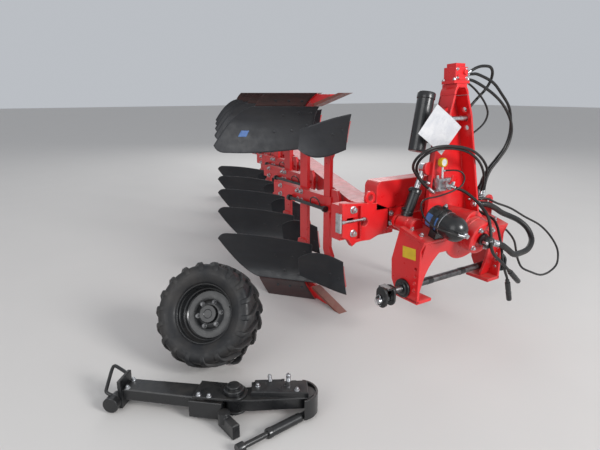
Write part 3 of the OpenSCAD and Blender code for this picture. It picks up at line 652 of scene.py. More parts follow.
# Routes of the hoses in millimetres from the ground under the cross shaft
ROUTES = {
    "supply_a": [
        (-45, -42, 1100), (-12, -70, 1086), (15, -110, 1060), (30, -185, 1008), (24, -268, 938),
        (8, -311, 853), (2, -325, 775), (38, -326, 700), (116, -325, 637), (195, -324, 575),
        (270, -324, 512)],
    "supply_b": [
        (288, 34, 929.7), (289, 17, 903), (293, -16, 879), (298, -66, 866), (290, -130, 850),
        (262, -185, 812), (225, -238, 752), (192, -284, 682), (182, -309, 606), (204, -319, 538),
        (234, -321, 482), (252, -321, 430)],
    "bundle": [
        (238, -30, 952), (320, -50, 940), (400, -58, 905), (480, -60, 862), (585, -65, 820),
        (672, -80, 780), (724, -116, 730), (730, -155, 680), (692, -195, 635), (583, -235, 604),
        (410, -275, 615), (300, -306, 640), (205, -318, 695), (140, -318, 735), (95, -310, 752)],
    "thin_loop": [
        (238, -2, 985), (320, -34, 982), (440, -38, 935), (635, -30, 868), (815, -40, 780), (995, -70, 690),
        (1120, -105, 580), (1185, -140, 465), (1150, -170, 365), (1015, -195, 330), (850, -215, 340),
        (690, -225, 400), (568, -220, 460), (536, -200, 524), (548, -170, 580), (570, -130, 646),
        (563, -82, 700), (535, -60, 730), (498, -50, 742)],
    "mast_ring": [
        (302, 4, 1036), (296, -12, 1090), (258, -30, 1175), (178, -50, 1255), (65, -68, 1320),
        (-60, -82, 1360), (-205, -92, 1380), (-310, -88, 1378), (-372, -69, 1354), (-393, -30, 1310),
        (-362, 20, 1255), (-305, 55, 1195), (-255, 68, 1155), (-214, 66, 1138)],
    "second_ring": [
        (288, 34, 1036), (312, 10, 1110), (284, -38, 1190), (196, -62, 1272), (72, -82, 1338),
        (-66, -98, 1377), (-226, -108, 1397), (-341, -102, 1394), (-410, -79, 1367), (-431, -35, 1318),
        (-398, 15, 1258), (-330, 40, 1196), (-270, 42, 1140), (-222, 38, 1105)],
    "valve_a": [
        (100, 35, 1858), (150, 30, 1880), (210, 30, 1893), (296, 35, 1892), (344, 46, 1869),
        (368, 60, 1835), (370, 74, 1793), (346, 88, 1743), (266, 98, 1672), (195, 112, 1600),
        (135, 138, 1530), (84, 146, 1490)],
    "valve_b": [
        (100, 50, 1838), (150, 52, 1842), (211, 50, 1838), (372, 50, 1789), (488, 50, 1708),
        (585, 50, 1622), (625, 50, 1529), (633, 50, 1427), (592, 50, 1333), (499, 48, 1250),
        (410, 44, 1182), (345, 38, 1110), (318, 34, 1036)],
    "valve_c": [
        (100, 60, 1805), (160, 58, 1800), (250, 52, 1770), (370, 42, 1715), (470, 32, 1650),
        (545, 24, 1575), (590, 18, 1500), (600, 16, 1420), (565, 14, 1335), (483, 12, 1255),
        (400, 12, 1185), (350, 8, 1115), (330, 4, 1036)],
    "valve_d": [
        (98, 84, 1790), (140, 80, 1784), (210, 66, 1740), (290, 58, 1675), (339, 54, 1615), (352, 54, 1565),
        (330, 66, 1505), (265, 95, 1443), (185, 130, 1390), (112, 136, 1345), (82, 132, 1332)],
    "gauge": [
        (-88, 18, 1214), (-66, 0, 1216), (-47, -34, 1219), (-18, -60, 1208), (0, -71, 1180),
        (-4, -76, 1146), (-38, -76, 1112), (-120, -66, 1084), (-230, -58, 1066), (-330, -56, 1062),
        (-392, -72, 1046), (-428, -105, 1012), (-455, -170, 965), (-445, -245, 930), (-398, -304, 906),
        (-330, -322, 884)],
}
# Fitted hoses: route, diameter, length of the fitting at the start and at the end, all in millimetres
FITTED = (("bundle", 42, 60, 60), ("thin_loop", 16, 60, 80), ("mast_ring", 18, 42, 60),
          ("second_ring", 18, 42, 70), ("valve_a", 20, 60, 0), ("valve_b", 20, 60, 42),
          ("valve_c", 20, 60, 42), ("valve_d", 14, 60, 0), ("gauge", 11, 20, 66))
# Length in metres over which a coupling holds its hose
COUPLING_LAP = 0.04


def route(name, step=0.012):
    """Smooth path of a hose in metres."""
    return place(0, 0, 0) + curve(np.array(ROUTES[name]) * 0.001, step)


def walked(path):
    """Distance along a path up to each of its points."""
    return np.concatenate([[0], np.cumsum(np.linalg.norm(np.diff(path, axis=0), axis=1))])


def end_of(path, last):
    """End point of a path and the direction in which it goes on from there."""
    way = path[-1] - path[-2] if last else path[0] - path[1]
    return (path[-1] if last else path[0]), way / np.linalg.norm(way)


def fitting(long, wide):
    """Hose fitting in metres: crimped sleeve with four grooves, swivel nut with six sides, nose."""
    sleeve, nut = 0.5 * wide, wide
    six, groove, trimmed = nut * six_sided() * 0.92, 0.90 * sleeve, np.minimum(nut * six_sided(), nut * 0.54)
    rings = [(0, 0.0), (groove, 0.0), (sleeve, 0.0015)]
    for k in range(4):
        base = (0.10 + 0.11 * k) * long
        rings += [(sleeve, base), (groove, base + 0.03 * long), (groove, base + 0.06 * long),
                  (sleeve, base + 0.09 * long)]
    shares = [(sleeve, 0.55), (0.72 * sleeve, 0.57), (0.72 * sleeve, 0.62), (six, 0.62), (trimmed, 0.64),
              (trimmed, 0.84), (six, 0.86), (0.62 * sleeve, 0.86), (0.62 * sleeve, 1.0), (0, 1.0)]
    return from_rings(rings + [(radius, share * long) for radius, share in shares])


def coupling():
    """Quick coupling plug of a supply hose, over 175 mm: nut, grip sleeve with grooves, collar, dust cap."""
    profile = [(0, 0), (12, 0), (14, 2), (14, 14), (12, 16), (12, 22), (17.5, 23), (18.5, 25)]
    for k in range(6):
        profile += [(18.5, 28 + 9 * k), (17.2, 30 + 9 * k), (17.2, 32 + 9 * k), (18.5, 34 + 9 * k)]
    profile += [(18.5, 86), (16.5, 88), (16.5, 100), (19, 102), (19, 112), (17, 114), (17, 120), (18.6, 121),
                (18.6, 165), (17, 171), (12, 174.5), (0, 174.5)]
    return lathe(profile, 28)


def bulkhead_nut():
    """Nuts over and under the top plate round a pipe that goes through it."""
    six = 30 * six_sided()
    return from_rings([(0, -25), (9, -25), (9, -16), (six, -15), (six, -1), (12, -0.3), (12, 15.3), (six, 16),
                       (six, 30), (10, 31), (10, 40), (0, 40)]).put(size=0.001)


def board_angle(z, low=39.0, top=45.0, high=BOARD_HIGH):
    """Plan angle of the level lines of a body's surface, which opens with the height in millimetres."""
    return np.radians(low + (top - low) * (np.clip(z, 0, None) / high) ** 1.5)


def board_face(s, z, depth, toe=235.0, run=265.0, power=4.0, low=39.0, top=45.0, high=BOARD_HIGH):
    """Point of a body by its reach and height in millimetres: the nose falls back by one minus a power of
    the height left, and from it a level line runs back at the plan angle; the depth lies square to it."""
    a = board_angle(z, low, top, high)
    nose = toe + run * (1 - (1 - np.minimum(z / high, 1)) ** power)
    across, along = -s * np.sin(a) + depth * np.cos(a), nose + s * np.cos(a) + depth * np.sin(a)
    return np.stack([across, along, z], -1) * 0.001


def sheet_form(point, cols, rows, thick, lap=0.35):
    """Closed sheet: a grid over (u, v) in front, the same behind by its thickness, and a rim that is
    rounded in two steps. point gives places for u, v and depth."""
    def stretch(count, rim):
        """Even steps from 0 to 1 with two more near each end."""
        inner = np.linspace(rim, 1 - rim, count)
        return np.concatenate([[0.0, rim * 0.3], inner, [1 - rim * 0.3, 1.0]])

    u, v = stretch(cols, 0.004), stretch(rows, 0.008)
    u_grid, v_grid = np.meshgrid(u, v, indexing="ij")

    def inset(count):
        """Share of the thickness by which each step is drawn in: the last two at each end."""
        steps = np.zeros(count)
        steps[[0, -1]], steps[[1, -2]] = lap, lap * 0.3
        return steps

    share = np.maximum(inset(len(u))[:, None], inset(len(v))[None, :]) * thick
    front = point(u_grid, v_grid, share)
    back = point(u_grid, v_grid, thick - share)
    n, m = len(u), len(v)
    faces = [net(n, m), net(n, m)[:, ::-1] + n * m]
    rim = np.concatenate([np.arange(m), np.arange(1, n) * m + m - 1,
                          (n - 1) * m + np.arange(m - 2, -1, -1), np.arange(n - 2, 0, -1) * m])
    ahead = np.roll(rim, -1)
    faces.append(np.stack([rim, rim + n * m, ahead + n * m, ahead], -1))
    return Form(np.concatenate([front.reshape(-1, 3), back.reshape(-1, 3)]), faces)


def board_places(u, v, depth):
    """Mouldboard: its end runs out with height, and its top swells with u and drops near the end."""
    foot = SHARE_HIGH + 0.3
    swell, drop = np.sin(np.radians(np.minimum(u, 0.75) * 120)), (np.maximum(u - 0.85, 0) / 0.15) ** 2
    top = BOARD_HIGH + 60 * swell - 60 * drop
    z = foot + (top - foot) * v
    end = SHARE_REACH + 320 * (np.clip(z - SHARE_HIGH, 0, None) / (BOARD_HIGH - SHARE_HIGH)) ** 0.6
    return board_face(6 + u * (end - 6), z, depth)


def share_places(u, v, depth):
    """Share: from the point's side to its outer tip, with a cutting edge at the ground."""
    z = SHARE_HIGH * v
    start = 81 / np.sin(board_angle(z))
    sharp = depth * np.clip(0.25 + z / 60, 0, 1)
    return board_face(start + u * (SHARE_REACH - start), z, sharp)


def skimmer_places(u, v, depth):
    """Skimmer: a small board whose lower edge climbs and whose top swells."""
    low = 120 * u ** 1.3
    swell, drop = np.sin(np.radians(np.minimum(u, 0.6) * 150)), (np.maximum(u - 0.6, 0) / 0.4) ** 2
    top = 265 + 65 * swell - 60 * drop
    point = board_face(u * 370, low + (top - low) * v, depth, 0, 55, 2, 40, 48, 330)
    return point + np.array([-0.010, 0, 0.148])


def for_each_body(form, upper=False, origin=place(0, 0, 0)):
    """The form at every body of one row; the upper row is mirrored over the turnover axis."""
    points = form.points * (1, 1, -1) + (0, 0, AXIS_HIGH * 0.002) if upper else form.points
    (x, y), (step_x, step_y) = FIRST_BODY, BODY_STEP
    spots = [np.array([x + step_x * n, y + step_y * n, 0]) for n in range(BODY_COUNT)]
    return [Form(points + (origin + spot), form.faces) for spot in spots]


def bolts_on_sheet(point, spots, width):
    """Domed bolts on a sheet at (u, v): each stands along the cross product of the sheet's two slopes."""
    made = []
    for u, v in spots:
        here = point(u, v, 0.0)
        along, up = point(u + 0.01, v, 0.0) - here, point(u, v + 0.01, 0.0) - here
        out = np.cross(up, along)
        out = -out if out[1] > 0 else out
        made.append(domed_head().put(here, axes(out), width))
    return joined(made)


class PLOUGH_OT_camera(Operator):
    """Camera at the photograph's viewing angle."""

    bl_idname = "plough.camera"
    bl_label = "Camera"

    def execute(self, context):
        data = bpy.data.cameras.new("photo camera")
        data.lens, data.sensor_width = LENS, SENSOR
        data.dof.use_dof = False
        data.clip_end = 200.0
        camera = bpy.data.objects.new("photo camera", data)
        context.scene.collection.objects.link(camera)
        camera.location = place(*CAMERA_SPOT)
        camera.rotation_euler = (math.radians(90 - PITCH), 0.0, -math.atan2(*CAMERA_WAY))
        context.scene.camera = camera
        return {"FINISHED"}


class PLOUGH_OT_finishes(Operator):
    """Materials of every part of the frame."""

    bl_idname = "plough.finishes"
    bl_label = "Finishes"

    def execute(self, context):
        write_finishes(context.scene.plough_colours, context.scene.plough_sizes)
        for part in frame["record"]["subparts"]:
            dress(frame["nodes"][part["node"]], part["material_slot"])
        return {"FINISHED"}


class PLOUGH_OT_hoses(Operator):
    """Supply hoses with their couplings, and the hoses that the mast holds."""

    bl_idname = "plough.hoses"
    bl_label = "Hoses"

    def execute(self, context):
        sizes = context.scene.plough_sizes
        for name in ("supply_a", "supply_b"):
            path, wide = route(name), round(getattr(sizes, name), 5)
            hose = head_piece("hose_" + name + "_cover", swept(path, wide / 2), "rubber_hose")
            end, way = end_of(path, True)
            plug = head_piece("coupling_" + name[-1], coupling().put(end - COUPLING_LAP * way, axes(way)),
                              "black_paint")
        forms = [swept(route(name), wide * 0.0005) for name, wide, _, _ in FITTED[1:]]
        head_piece("hoses_on_mast", forms, "rubber_hose")
        path = route("bundle", 0.003)
        ripple = 0.0007 * np.sin(walked(path) * 2 * np.pi / 0.013)
        head_piece("hose_wrap", swept(path, 0.0203 + ripple, 20), "wrap")
        return {"FINISHED"}


class PLOUGH_OT_fittings(Operator):
    """Crimped fittings, bulkhead nuts, port blocks and the tip of the accumulator."""

    bl_idname = "plough.fittings"
    bl_label = "Fittings"

    def execute(self, context):
        forms = []
        for name, wide, first, last in FITTED:
            path = route(name)
            for at_end, long in ((False, first), (True, last)):
                if long:
                    end, way = end_of(path, at_end)
                    made = fitting(long * 0.001, (wide + 6) * 0.001)
                    forms.append(made.put(end + 0.0003 * way, axes(way)))
        end, way = end_of(route("supply_a"), False)
        forms.append(fitting(0.046, 0.027).put(end, axes(way)))
        nut = bulkhead_nut()
        forms += [GROUND.hold(nut, x, y, 955) for x, y in ((288, 34), (318, 34), (302, 4), (330, 4))]
        for x, y, z, wide, deep, high in ((24, 100, 1462, 56, 62, 56), (24, 90, 1304, 54, 58, 52)):
            forms.append(GROUND.hold(box(wide, deep, high, edge=3), x, y, z))
            forms.append(set_bolts(GROUND, [(x + wide / 2, y + deep, z + high / 2)], (0, 1, 0), 0.022))
        tip = lathe([(0, 0), (19, 0), (19, 9), (12, 10), (12, 18), (14, 19), (14, 25.7), (0, 25.7)], 24)
        forms.append(FRONT.hold(tip, *ACCUMULATOR, 162.3))
        head_piece("fittings_plated", forms, "plated_steel")
        return {"FINISHED"}


def board_label(u, v, depth):
    """Blank sticker on the hind part of a mouldboard."""
    return board_places(0.70 + 0.09 * u, 0.52 + 0.13 * v, depth - 0.8)


class PLOUGH_OT_bodies(Operator):
    """Mouldboards, shares and skimmers as rolled sheets, with their countersunk bolts."""

    bl_idname = "plough.bodies"
    bl_label = "Bodies"

    def execute(self, context):
        thick = context.scene.plough_sizes.board_thickness * 1000
        board = sheet_form(board_places, 44, 30, thick)
        share = sheet_form(share_places, 24, 10, SHARE_THICK)
        skimmer = sheet_form(skimmer_places, 28, 20, SKIMMER_THICK)
        label = sheet_form(board_label, 4, 4, 0.6)
        mesh_piece("label_blue", for_each_body(label, True)[0], "label_blue", "frame")
        on_board = ((0.07, 0.16), (0.07, 0.45), (0.08, 0.74), (0.22, 0.15), (0.23, 0.55), (0.40, 0.20),
                    (0.42, 0.55))
        bolts = joined([bolts_on_sheet(board_places, on_board, 0.026),
                        bolts_on_sheet(share_places, ((0.12, 0.62), (0.38, 0.60), (0.64, 0.60)), 0.024),
                        bolts_on_sheet(skimmer_places, ((0.12, 0.42), (0.30, 0.45)), 0.022)])
        for row, upper in (("lower", False), ("upper", True)):
            for name, form, slot, node in (("board", board, "board_steel", "mouldboards_"),
                                           ("share", share, "share_steel", "shares_"),
                                           ("skimmer", skimmer, "board_steel", "skimmers_")):
                mesh_piece(name + "_sheets_" + row, for_each_body(form, upper), slot, "frame", (node + row,))
            mesh_piece("sheet_bolts_" + row, for_each_body(bolts, upper), "board_steel", "frame")
        return {"FINISHED"}


def tyre_side():
    """Outline of half the tyre from the bead to the middle of the tread, as 44 even points of radius and
    level; and the direction out of it at each."""
    half = np.array([(185.4, 96), (187, 104), (192, 111), (203, 118), (222, 127), (247, 133), (270, 132),
                     (288, 127), (299, 119), (305, 108), (308, 92), (309.5, 60), (310, 25), (310, 0)], float)
    far = walked(half)
    fine = np.linspace(0, far[-1], 44)
    side = np.stack([np.interp(fine, far, half[:, k]) for k in (0, 1)], -1)
    side[1:-1] = (side[:-2] + 2 * side[1:-1] + side[2:]) / 4
    slope = np.gradient(side, axis=0)
    out = np.stack([-slope[:, 1], slope[:, 0]], -1)
    out /= np.linalg.norm(out, axis=1, keepdims=True)
    out[out[:, 0] < 0] *= -1
    return side, out


def tyre_lug(side, out):
    """One lug: a ridge that starts on the side wall, climbs out of it and runs slanting to the middle of
    the tread. Its section is a flat top with rounded, sloping flanks."""
    spot = np.linspace(15, 43, 18)
    base = np.stack([np.interp(spot, np.arange(44), side[:, k]) for k in (0, 1)], -1)
    lift = np.stack([np.interp(spot, np.arange(44), out[:, k]) for k in (0, 1)], -1)
    grown = np.interp(spot, (15, 18, 23, 27, 43), (0.5, 4.0, 10.0, 19.0, 20.0))
    reach = np.interp(spot, (15, 23, 43), (0.0, 0.02, 0.31))
    wide = np.interp(spot, (15, 22, 43), (15.0, 17.0, 12.0))
    across = np.array([-1.15, -1.0, -0.86, -0.78, 0.78, 0.86, 1.0, 1.15])
    up = np.array([-0.25, 0.55, 0.94, 1.0, 1.0, 0.94, 0.55, -0.25])
    height = np.where(up > 0, up[None] * grown[:, None], -2.5)
    radius = base[:, None, 0] + lift[:, None, 0] * height
    level = base[:, None, 1] + lift[:, None, 1] * height
    angle = reach[:, None] + across[None] * wide[:, None] / 310
    points = np.stack([radius * np.cos(angle), radius * np.sin(angle), level], -1) * 0.001
    count = len(across)
    ends = [np.arange(count)[None], np.arange(count)[None, ::-1] + (len(spot) - 1) * count]
    return Form(points, [net(len(spot), count, cols_closed=True)] + ends)


class PLOUGH_OT_wheel(Operator):
    """Depth wheel: tyre with chevron lugs, dished rim with its bolts and valve, and its bracket."""

    bl_idname = "plough.wheel"
    bl_label = "Depth wheel"

    def execute(self, context):
        side, out = tyre_side()
        forms = [WHEEL.hold(lathe(np.concatenate([side, (side * (1, -1))[-2::-1]]), 108, True))]
        lug, lugs = tyre_lug(side, out), 18
        other = Form(lug.points * (1, 1, -1), lug.faces)
        for k in range(lugs):
            forms.append(WHEEL.hold(lug, turn=turn_about(2, k * 360 / lugs)))
            forms.append(WHEEL.hold(other, turn=turn_about(2, (k + 0.5) * 360 / lugs)))
        head_piece("tyre_moulded", forms, "tyre_rubber", "wheel_tyre", crease=30.0)
        rim = [(184.5, -99), (188.5, -98.5), (188.5, -94), (183.8, -90), (183.8, 90), (188.5, 94),
               (188.5, 98.5), (184.5, 100), (179, 97), (176.5, 90), (176, 76), (171, 70), (168, 64),
               (167.5, 40), (164, 34), (158, 31), (156, 24), (155, 6), (148, 0), (130, -3), (96, -3), (90, 0),
               (78, 8), (60, 10), (58, 30), (54, 37), (30, 37), (26, 34), (0, 34), (0, -14.5), (62, -14.5),
               (150, -14.5), (166, -8), (172, -20), (173, -88), (179, -94)]
        head_piece("rim_spun", WHEEL.hold(lathe(rim, 96, True)), "black_paint", "wheel_rim", crease=30.0)
        nuts = set_bolts(WHEEL, [(*spot, 7) for spot in arc(0, 0, 80, 15, 315, 5)], (0, 0, 1), 0.022)
        stem = WHEEL.at(128, 60, -3) + np.outer(np.array([0, 20, 34, 42]) * 0.001, WHEEL.way(0.35, 0.2, 1))
        valve = swept(stem, np.array([0.006, 0.006, 0.0045, 0.0045]), 12)
        head_piece("rim_bolts", [nuts, valve], "dark_bolt")
        reach, turn = math.hypot(150, 245), math.degrees(math.atan2(-245, 150))
        arm = [*arc(0, 0, 72, 50, 310, 20), *arc(reach, 0, 55, -90, 90, 14)]
        bracket = [WHEEL.hold(lathe([(0, 0), (56, 0), (60, 4), (60, 124.4), (0, 124.4)], 40), 0, 0, -140),
                   WHEEL.hold(cut(arm, 20, [hole(reach, 0, 40)], 2), 0, 0, -160, turn_about(2, turn))]
        head_piece("wheel_bracket_plate", bracket, "black_paint", "wheel_bracket")
        return {"FINISHED"}


def on_front(height, out):
    """Place across Y and Z of a point of the front plate by its height and its distance out of it."""
    c, d = math.cos(math.radians(FRONT_LEAN)), math.sin(math.radians(FRONT_LEAN))
    return FRONT.origin[1] - height * d - out * c, FRONT.origin[2] + height * c - out * d


def mast_wall(start, end, low):
    """Side plate of the mast over one line of its outline, pierced where it passes the three cross holes;
    below them it may be lower."""
    start, end = np.array(start, float), np.array(end, float)
    long = np.linalg.norm(end - start)
    way = (end - start) / long
    out = np.array([way[1], -way[0]])
    foot, head = sorted((start[1], end[1]))
    holes = [hole((h - start[1]) / way[1], 80, 34) for h in (618, 680, 742) if foot + 18 < h < head - 18]
    step = [(long, low), (230, low), (150, MAST_DEEP)] if low < MAST_DEEP else [(long, MAST_DEEP)]
    form = cut([(0, 0), (long, 0), *step, (0, MAST_DEEP)], 18, holes, 2.5)
    x, y = start - 18 * out
    return MAST.hold(form, x, y, 0, np.column_stack([(*way, 0), (0, 0, 1), (*out, 0)]))


def tag_places(u, v, depth):
    """Paper tag: a sheet turned across the mast, leaning out on one side, bent by a low sine."""
    x, y, turn = (u - 0.5) * 210, (v - 0.5) * 262, math.radians(56)
    across, up = x * math.cos(turn) - y * math.sin(turn), x * math.sin(turn) + y * math.cos(turn)
    return np.stack([across, up, 128 + 52 * u + 7 * np.sin(3.0 * v + 0.8 * u) - depth], -1) * 0.001


def accumulator_sticker(u, v, depth):
    """Sticker round a part of the accumulator: u goes round it, v along it."""
    angle = np.radians(150 + 65 * u)
    radius = 82.6 - depth
    return np.stack([radius * np.cos(angle), radius * np.sin(angle), -96 + 88 * v], -1) * 0.001


def side_plates():
    """Both side plates of the headstock with a row of holes, and their soles."""
    outline = [(-128, 380), (65, 380), (120, 480), (130, 620), on_front(FRONT_LONG, -205),
               on_front(FRONT_LONG, 20), (-128, 740)]
    holes = [hole(0, SHAFT_HIGH, 44)] + [hole(-96, 463 + 49 * k, 22) for k in range(4)]
    forms = []
    for plate_x, sole_x in ((-HEAD_HALF, -HEAD_HALF), (HEAD_HALF - 20, HEAD_HALF - 135)):
        forms.append(GROUND.hold(cut(outline, 20, holes, 3), plate_x, 0, 0, SIDEWAYS))
        forms.append(GROUND.hold(box(135, 193, 24, 3), sole_x, -128, 368))
    return forms


def headstock_beads():
    """Weld beads inside the side plates, round the housing and under the lug."""
    beads = []
    for x in (22 - HEAD_HALF, HEAD_HALF - 22):
        for out in (22, -2):
            beads.append(bead(GROUND, [(x, *on_front(h, out)) for h in (24, 220, 418)]))
        beads.append(bead(GROUND, [(x, y, 393) for y in (-100, -60, -20)]))
    beads.append(bead(FRONT, [(*p, 21) for p in arc(0, FRONT_AXIS, 120, 190, 350, 30)], 7))
    beads.append(bead(GROUND, [(x, -6, 842) for x in (345, 390, 434)]))
    return beads


def housing():
    """Leaning drum on the front plate, bearing behind it and eye of the turnover cylinder."""
    shell = [(0, 0), (118, 0), (118, 22), (121, 24), (121, 34), (118, 36), (118, 92), (115, 100), (108, 104),
             (96, 105.7), (66, 105.7), (62, 102), (60, 98), (0, 98)]
    bearing = [(0, 0), (96, 0), (100, 4), (100, 300), (106, 304), (106, 330), (102, 334.7), (62, 334.7),
               (62, 330), (0, 330)]
    eye = [(0, 0), (50, 0), (52, 2), (52, 8), (56, 9), (56, 23), (52, 24), (52, 60), (56, 61), (56, 75),
           (52, 76), (52, 154), (49, 157), (24, 157), (22, 150), (0, 150)]
    return [FRONT.hold(lathe(shell, 72), 0, FRONT_AXIS, 20.3), AXIS.hold(lathe(bearing, 72), 0, 0, -185),
            AXIS.hold(lathe(eye, 40), -340, 0, 0)]


class PLOUGH_OT_headstock(Operator):
    """Side plates with soles, front plate with its arch, top plate with lug and bulkhead, housing and cap."""

    bl_idname = "plough.headstock"
    bl_label = "Headstock"

    def execute(self, context):
        label = cut([(-94, 669), (24, 664), (28, 741), (-88, 745)], 0.6, edge=0.1)
        head_piece("label_yellow", GROUND.hold(label, -HEAD_HALF - 0.9, 0, 0, SIDEWAYS), "gauge_yellow")
        head_piece("headstock_sides", side_plates(), "red_paint", "side_brackets")
        low, half, arch = 18.1, 414.7, 325
        face = [(-half, low), (-arch, low), *arc(0, 130, arch, 180, 140.9, 10),
                *arc(0, FRONT_AXIS, 215, 214.9, 325.1, 24), *arc(0, 130, arch, 39.1, 0, 10), (arch, low),
                (half, low), (half, FRONT_LONG), (-half, FRONT_LONG)]
        head_piece("front_plate_arched", FRONT.hold(cut(face, 20, edge=3)), "red_paint", "front_plate")
        lug = [(0, 838), (90, 838), *arc(45, 955, 45, 0, 180)]
        top = [FRONT.hold(box(2 * HEAD_HALF, 20, 225, 3), -HEAD_HALF, 425, -205),
               GROUND.hold(cut(lug, 15, [hole(45, 958, 34)], 2), 345, 7.5, 0, turn_about(0, 90)),
               GROUND.hold(box(80, 64, 15, 2), 270, -13, 955)]
        head_piece("top_plate_with_lug", top, "red_paint", "top_plate")
        head_piece("housing_leaning", housing(), "red_paint", "turnover_drum", crease=30.0)
        head_piece("weld_beads", headstock_beads(), "red_paint")
        cap = [(0, 0), (42, 0), (42, 14), (36, 17), (36, 40), (42, 43), (42, 58), (38, 66), (14, 66),
               (12, 60), (0, 60)]
        head_piece("cap_stepped", FRONT.hold(lathe(cap), 0, FRONT_AXIS, 126.3), "black_paint", "drum_cap")
        round_drum = [(*spot, 126) for spot in arc(0, FRONT_AXIS, 92, -52, 218, 3)]
        on_top = [(x, 446, z) for x in (-380, 380) for z in (-150, -60)]
        forms = [set_bolts(FRONT, round_drum, (0, 0, 1), 0.024), set_bolts(FRONT, on_top, (0, 1, 0), 0.024)]
        for x, rise in ((-30, 12), (30, 12), (0, 23.2)):
            start = FRONT.at(x, FRONT_AXIS, 160)
            way = FRONT.at(x * 1.6, FRONT_AXIS + rise, 205) - start
            forms.append(fitting(0.045, 0.020).put(start, axes(way)))
        head_piece("headstock_bolts", forms, "plated_steel")
        return {"FINISHED"}


def mast_plates():
    """Mast: web with its hole, four side plates, crown, cap, lug of the cylinder and foot."""
    right = [MAST_FOOT, MAST_NECK, MAST_TOP]
    left = [(-x, height) for x, height in right]
    half, top = MAST_TOP
    web = [left[0], *right, *arc(0, top, half, 10, 170, 18), left[2], left[1]]
    forms = [MAST.hold(cut(web, 18, [hole(0, 560, 90)], 2.5))]
    for start, end, low in ((right[0], right[1], MAST_DEEP), (right[1], right[2], MAST_DEEP),
                            (left[2], left[1], MAST_DEEP), (left[1], left[0], 45)):
        forms.append(mast_wall(start, end, low))
    crown = arc(0, top, half, 0, 180, 20) + arc(0, top, half - 18, 180, 0, 20)
    forms.append(MAST.hold(cut(crown, MAST_DEEP, edge=2)))
    forms.append(MAST.hold(box(100, 25, 124, 2), -50, 877, 0.5))
    lug = [(0, -45), (0, 45), *arc(-177.3, 0, 45, 90, 270, 16)]
    forms.append(MAST.hold(cut(lug, 22, edge=2), 0, 356.3, -2))
    forms.append(GROUND.hold(rod(15, 75), -177.3, 82, 1225.4, ALONG_Y))
    forms.append(FRONT.hold(box(480, 14, 135, 2), -240, 445.3, -205))
    return forms


class PLOUGH_OT_mast(Operator):
    """Mast with pierced side plates, lug of the turnover cylinder and foot, and the rotary valve on it."""

    bl_idname = "plough.mast"
    bl_label = "Mast"

    def execute(self, context):
        head_piece("mast_boxed", mast_plates(), "red_paint", "mast")
        taper, sides = 0.1638, (-1, 1)
        beads = [bead(MAST, [(side * (210 - taper * h), h, 19) for h in (20, 300, 680)], 6) for side in sides]
        beads += [bead(MAST, [(side * (232 - taper * 12), 12, z) for z in (4, 120)], 7) for side in sides]
        head_piece("mast_beads", beads, "red_paint")
        valve, low = [], 902.5
        for wide, high, deep in ((150, 20, 110), (120, 85, 100), (90, 24, 80)):
            valve.append(MAST.hold(box(wide, high, deep, 3), -wide / 2, low, 70 - deep / 2))
            low += high
        valve += [MAST.hold(rod(17, 12), x, h, 119) for x, h in ((-30, 945), (30, 975))]
        head_piece("rotary_valve_stepped", valve, "red_paint", "rotary_valve")
        upright = [(x, 922.5, z) for x in (-66, 66) for z in (26, 114)]
        in_front = [(x, h, 120) for x in (-46, 46) for h in (938, 992)]
        beside = [(60.5, h, z) for h in (936, 998) for z in (34, 106)]
        wire = [(-159, 680, 80), (-159, 668, 98), (-120, 655, 112), (-70, 668, 108), (-66, 700, 96)]
        pin = lathe([(0, -20), (22, -20), (22, -8), (16, -6), (16, 0), (0, 0)])
        small = [set_bolts(MAST, upright, (0, 1, 0), 0.018), set_bolts(MAST, in_front, (0, 0, 1), 0.014),
                 set_bolts(MAST, beside, (1, 0, 0), 0.014), MAST.hold(pin, -150, 680, 80, ALONG_X),
                 swept(MAST.line(wire), 0.0025, 8)]
        sheet = sheet_form(tag_places, 14, 18, 0.7)
        head_piece("tag_sheet", MAST.hold(sheet, -238, 612, 0), "paper", "paper_tag")
        head_piece("mast_small_parts", small, "plated_steel")
        return {"FINISHED"}


def document_tube():
    """Tube with its lid, leaning beside the mast, on two brackets that reach the mast's edge."""
    foot, height, tilt, lean = -320, 481, 13.5, 0.24
    tube = [(0, 0), (51, 0), (55, 4), (55, 336), (59, 340), (59, 374), (55, 380), (0, 380)]
    forms = [MAST.hold(lathe(tube, 56), foot, height, 35, turn_about(2, -tilt) @ ALONG_Y)]
    for low, high in ((50, 90), (150, 190)):
        outer = [foot + lean * up for up in (low, high)]
        half, narrow = MAST_FOOT[0], (MAST_FOOT[0] - MAST_NECK[0]) / MAST_NECK[1]
        inner = [-(half - narrow * (height + up)) - 0.3 for up in (low, high)]
        outline = [(outer[0], height + low), (inner[0], height + low), (inner[1], height + high),
                   (outer[1], height + high)]
        forms.append(MAST.hold(cut(outline, 30), 0, 0, 20))
    return forms


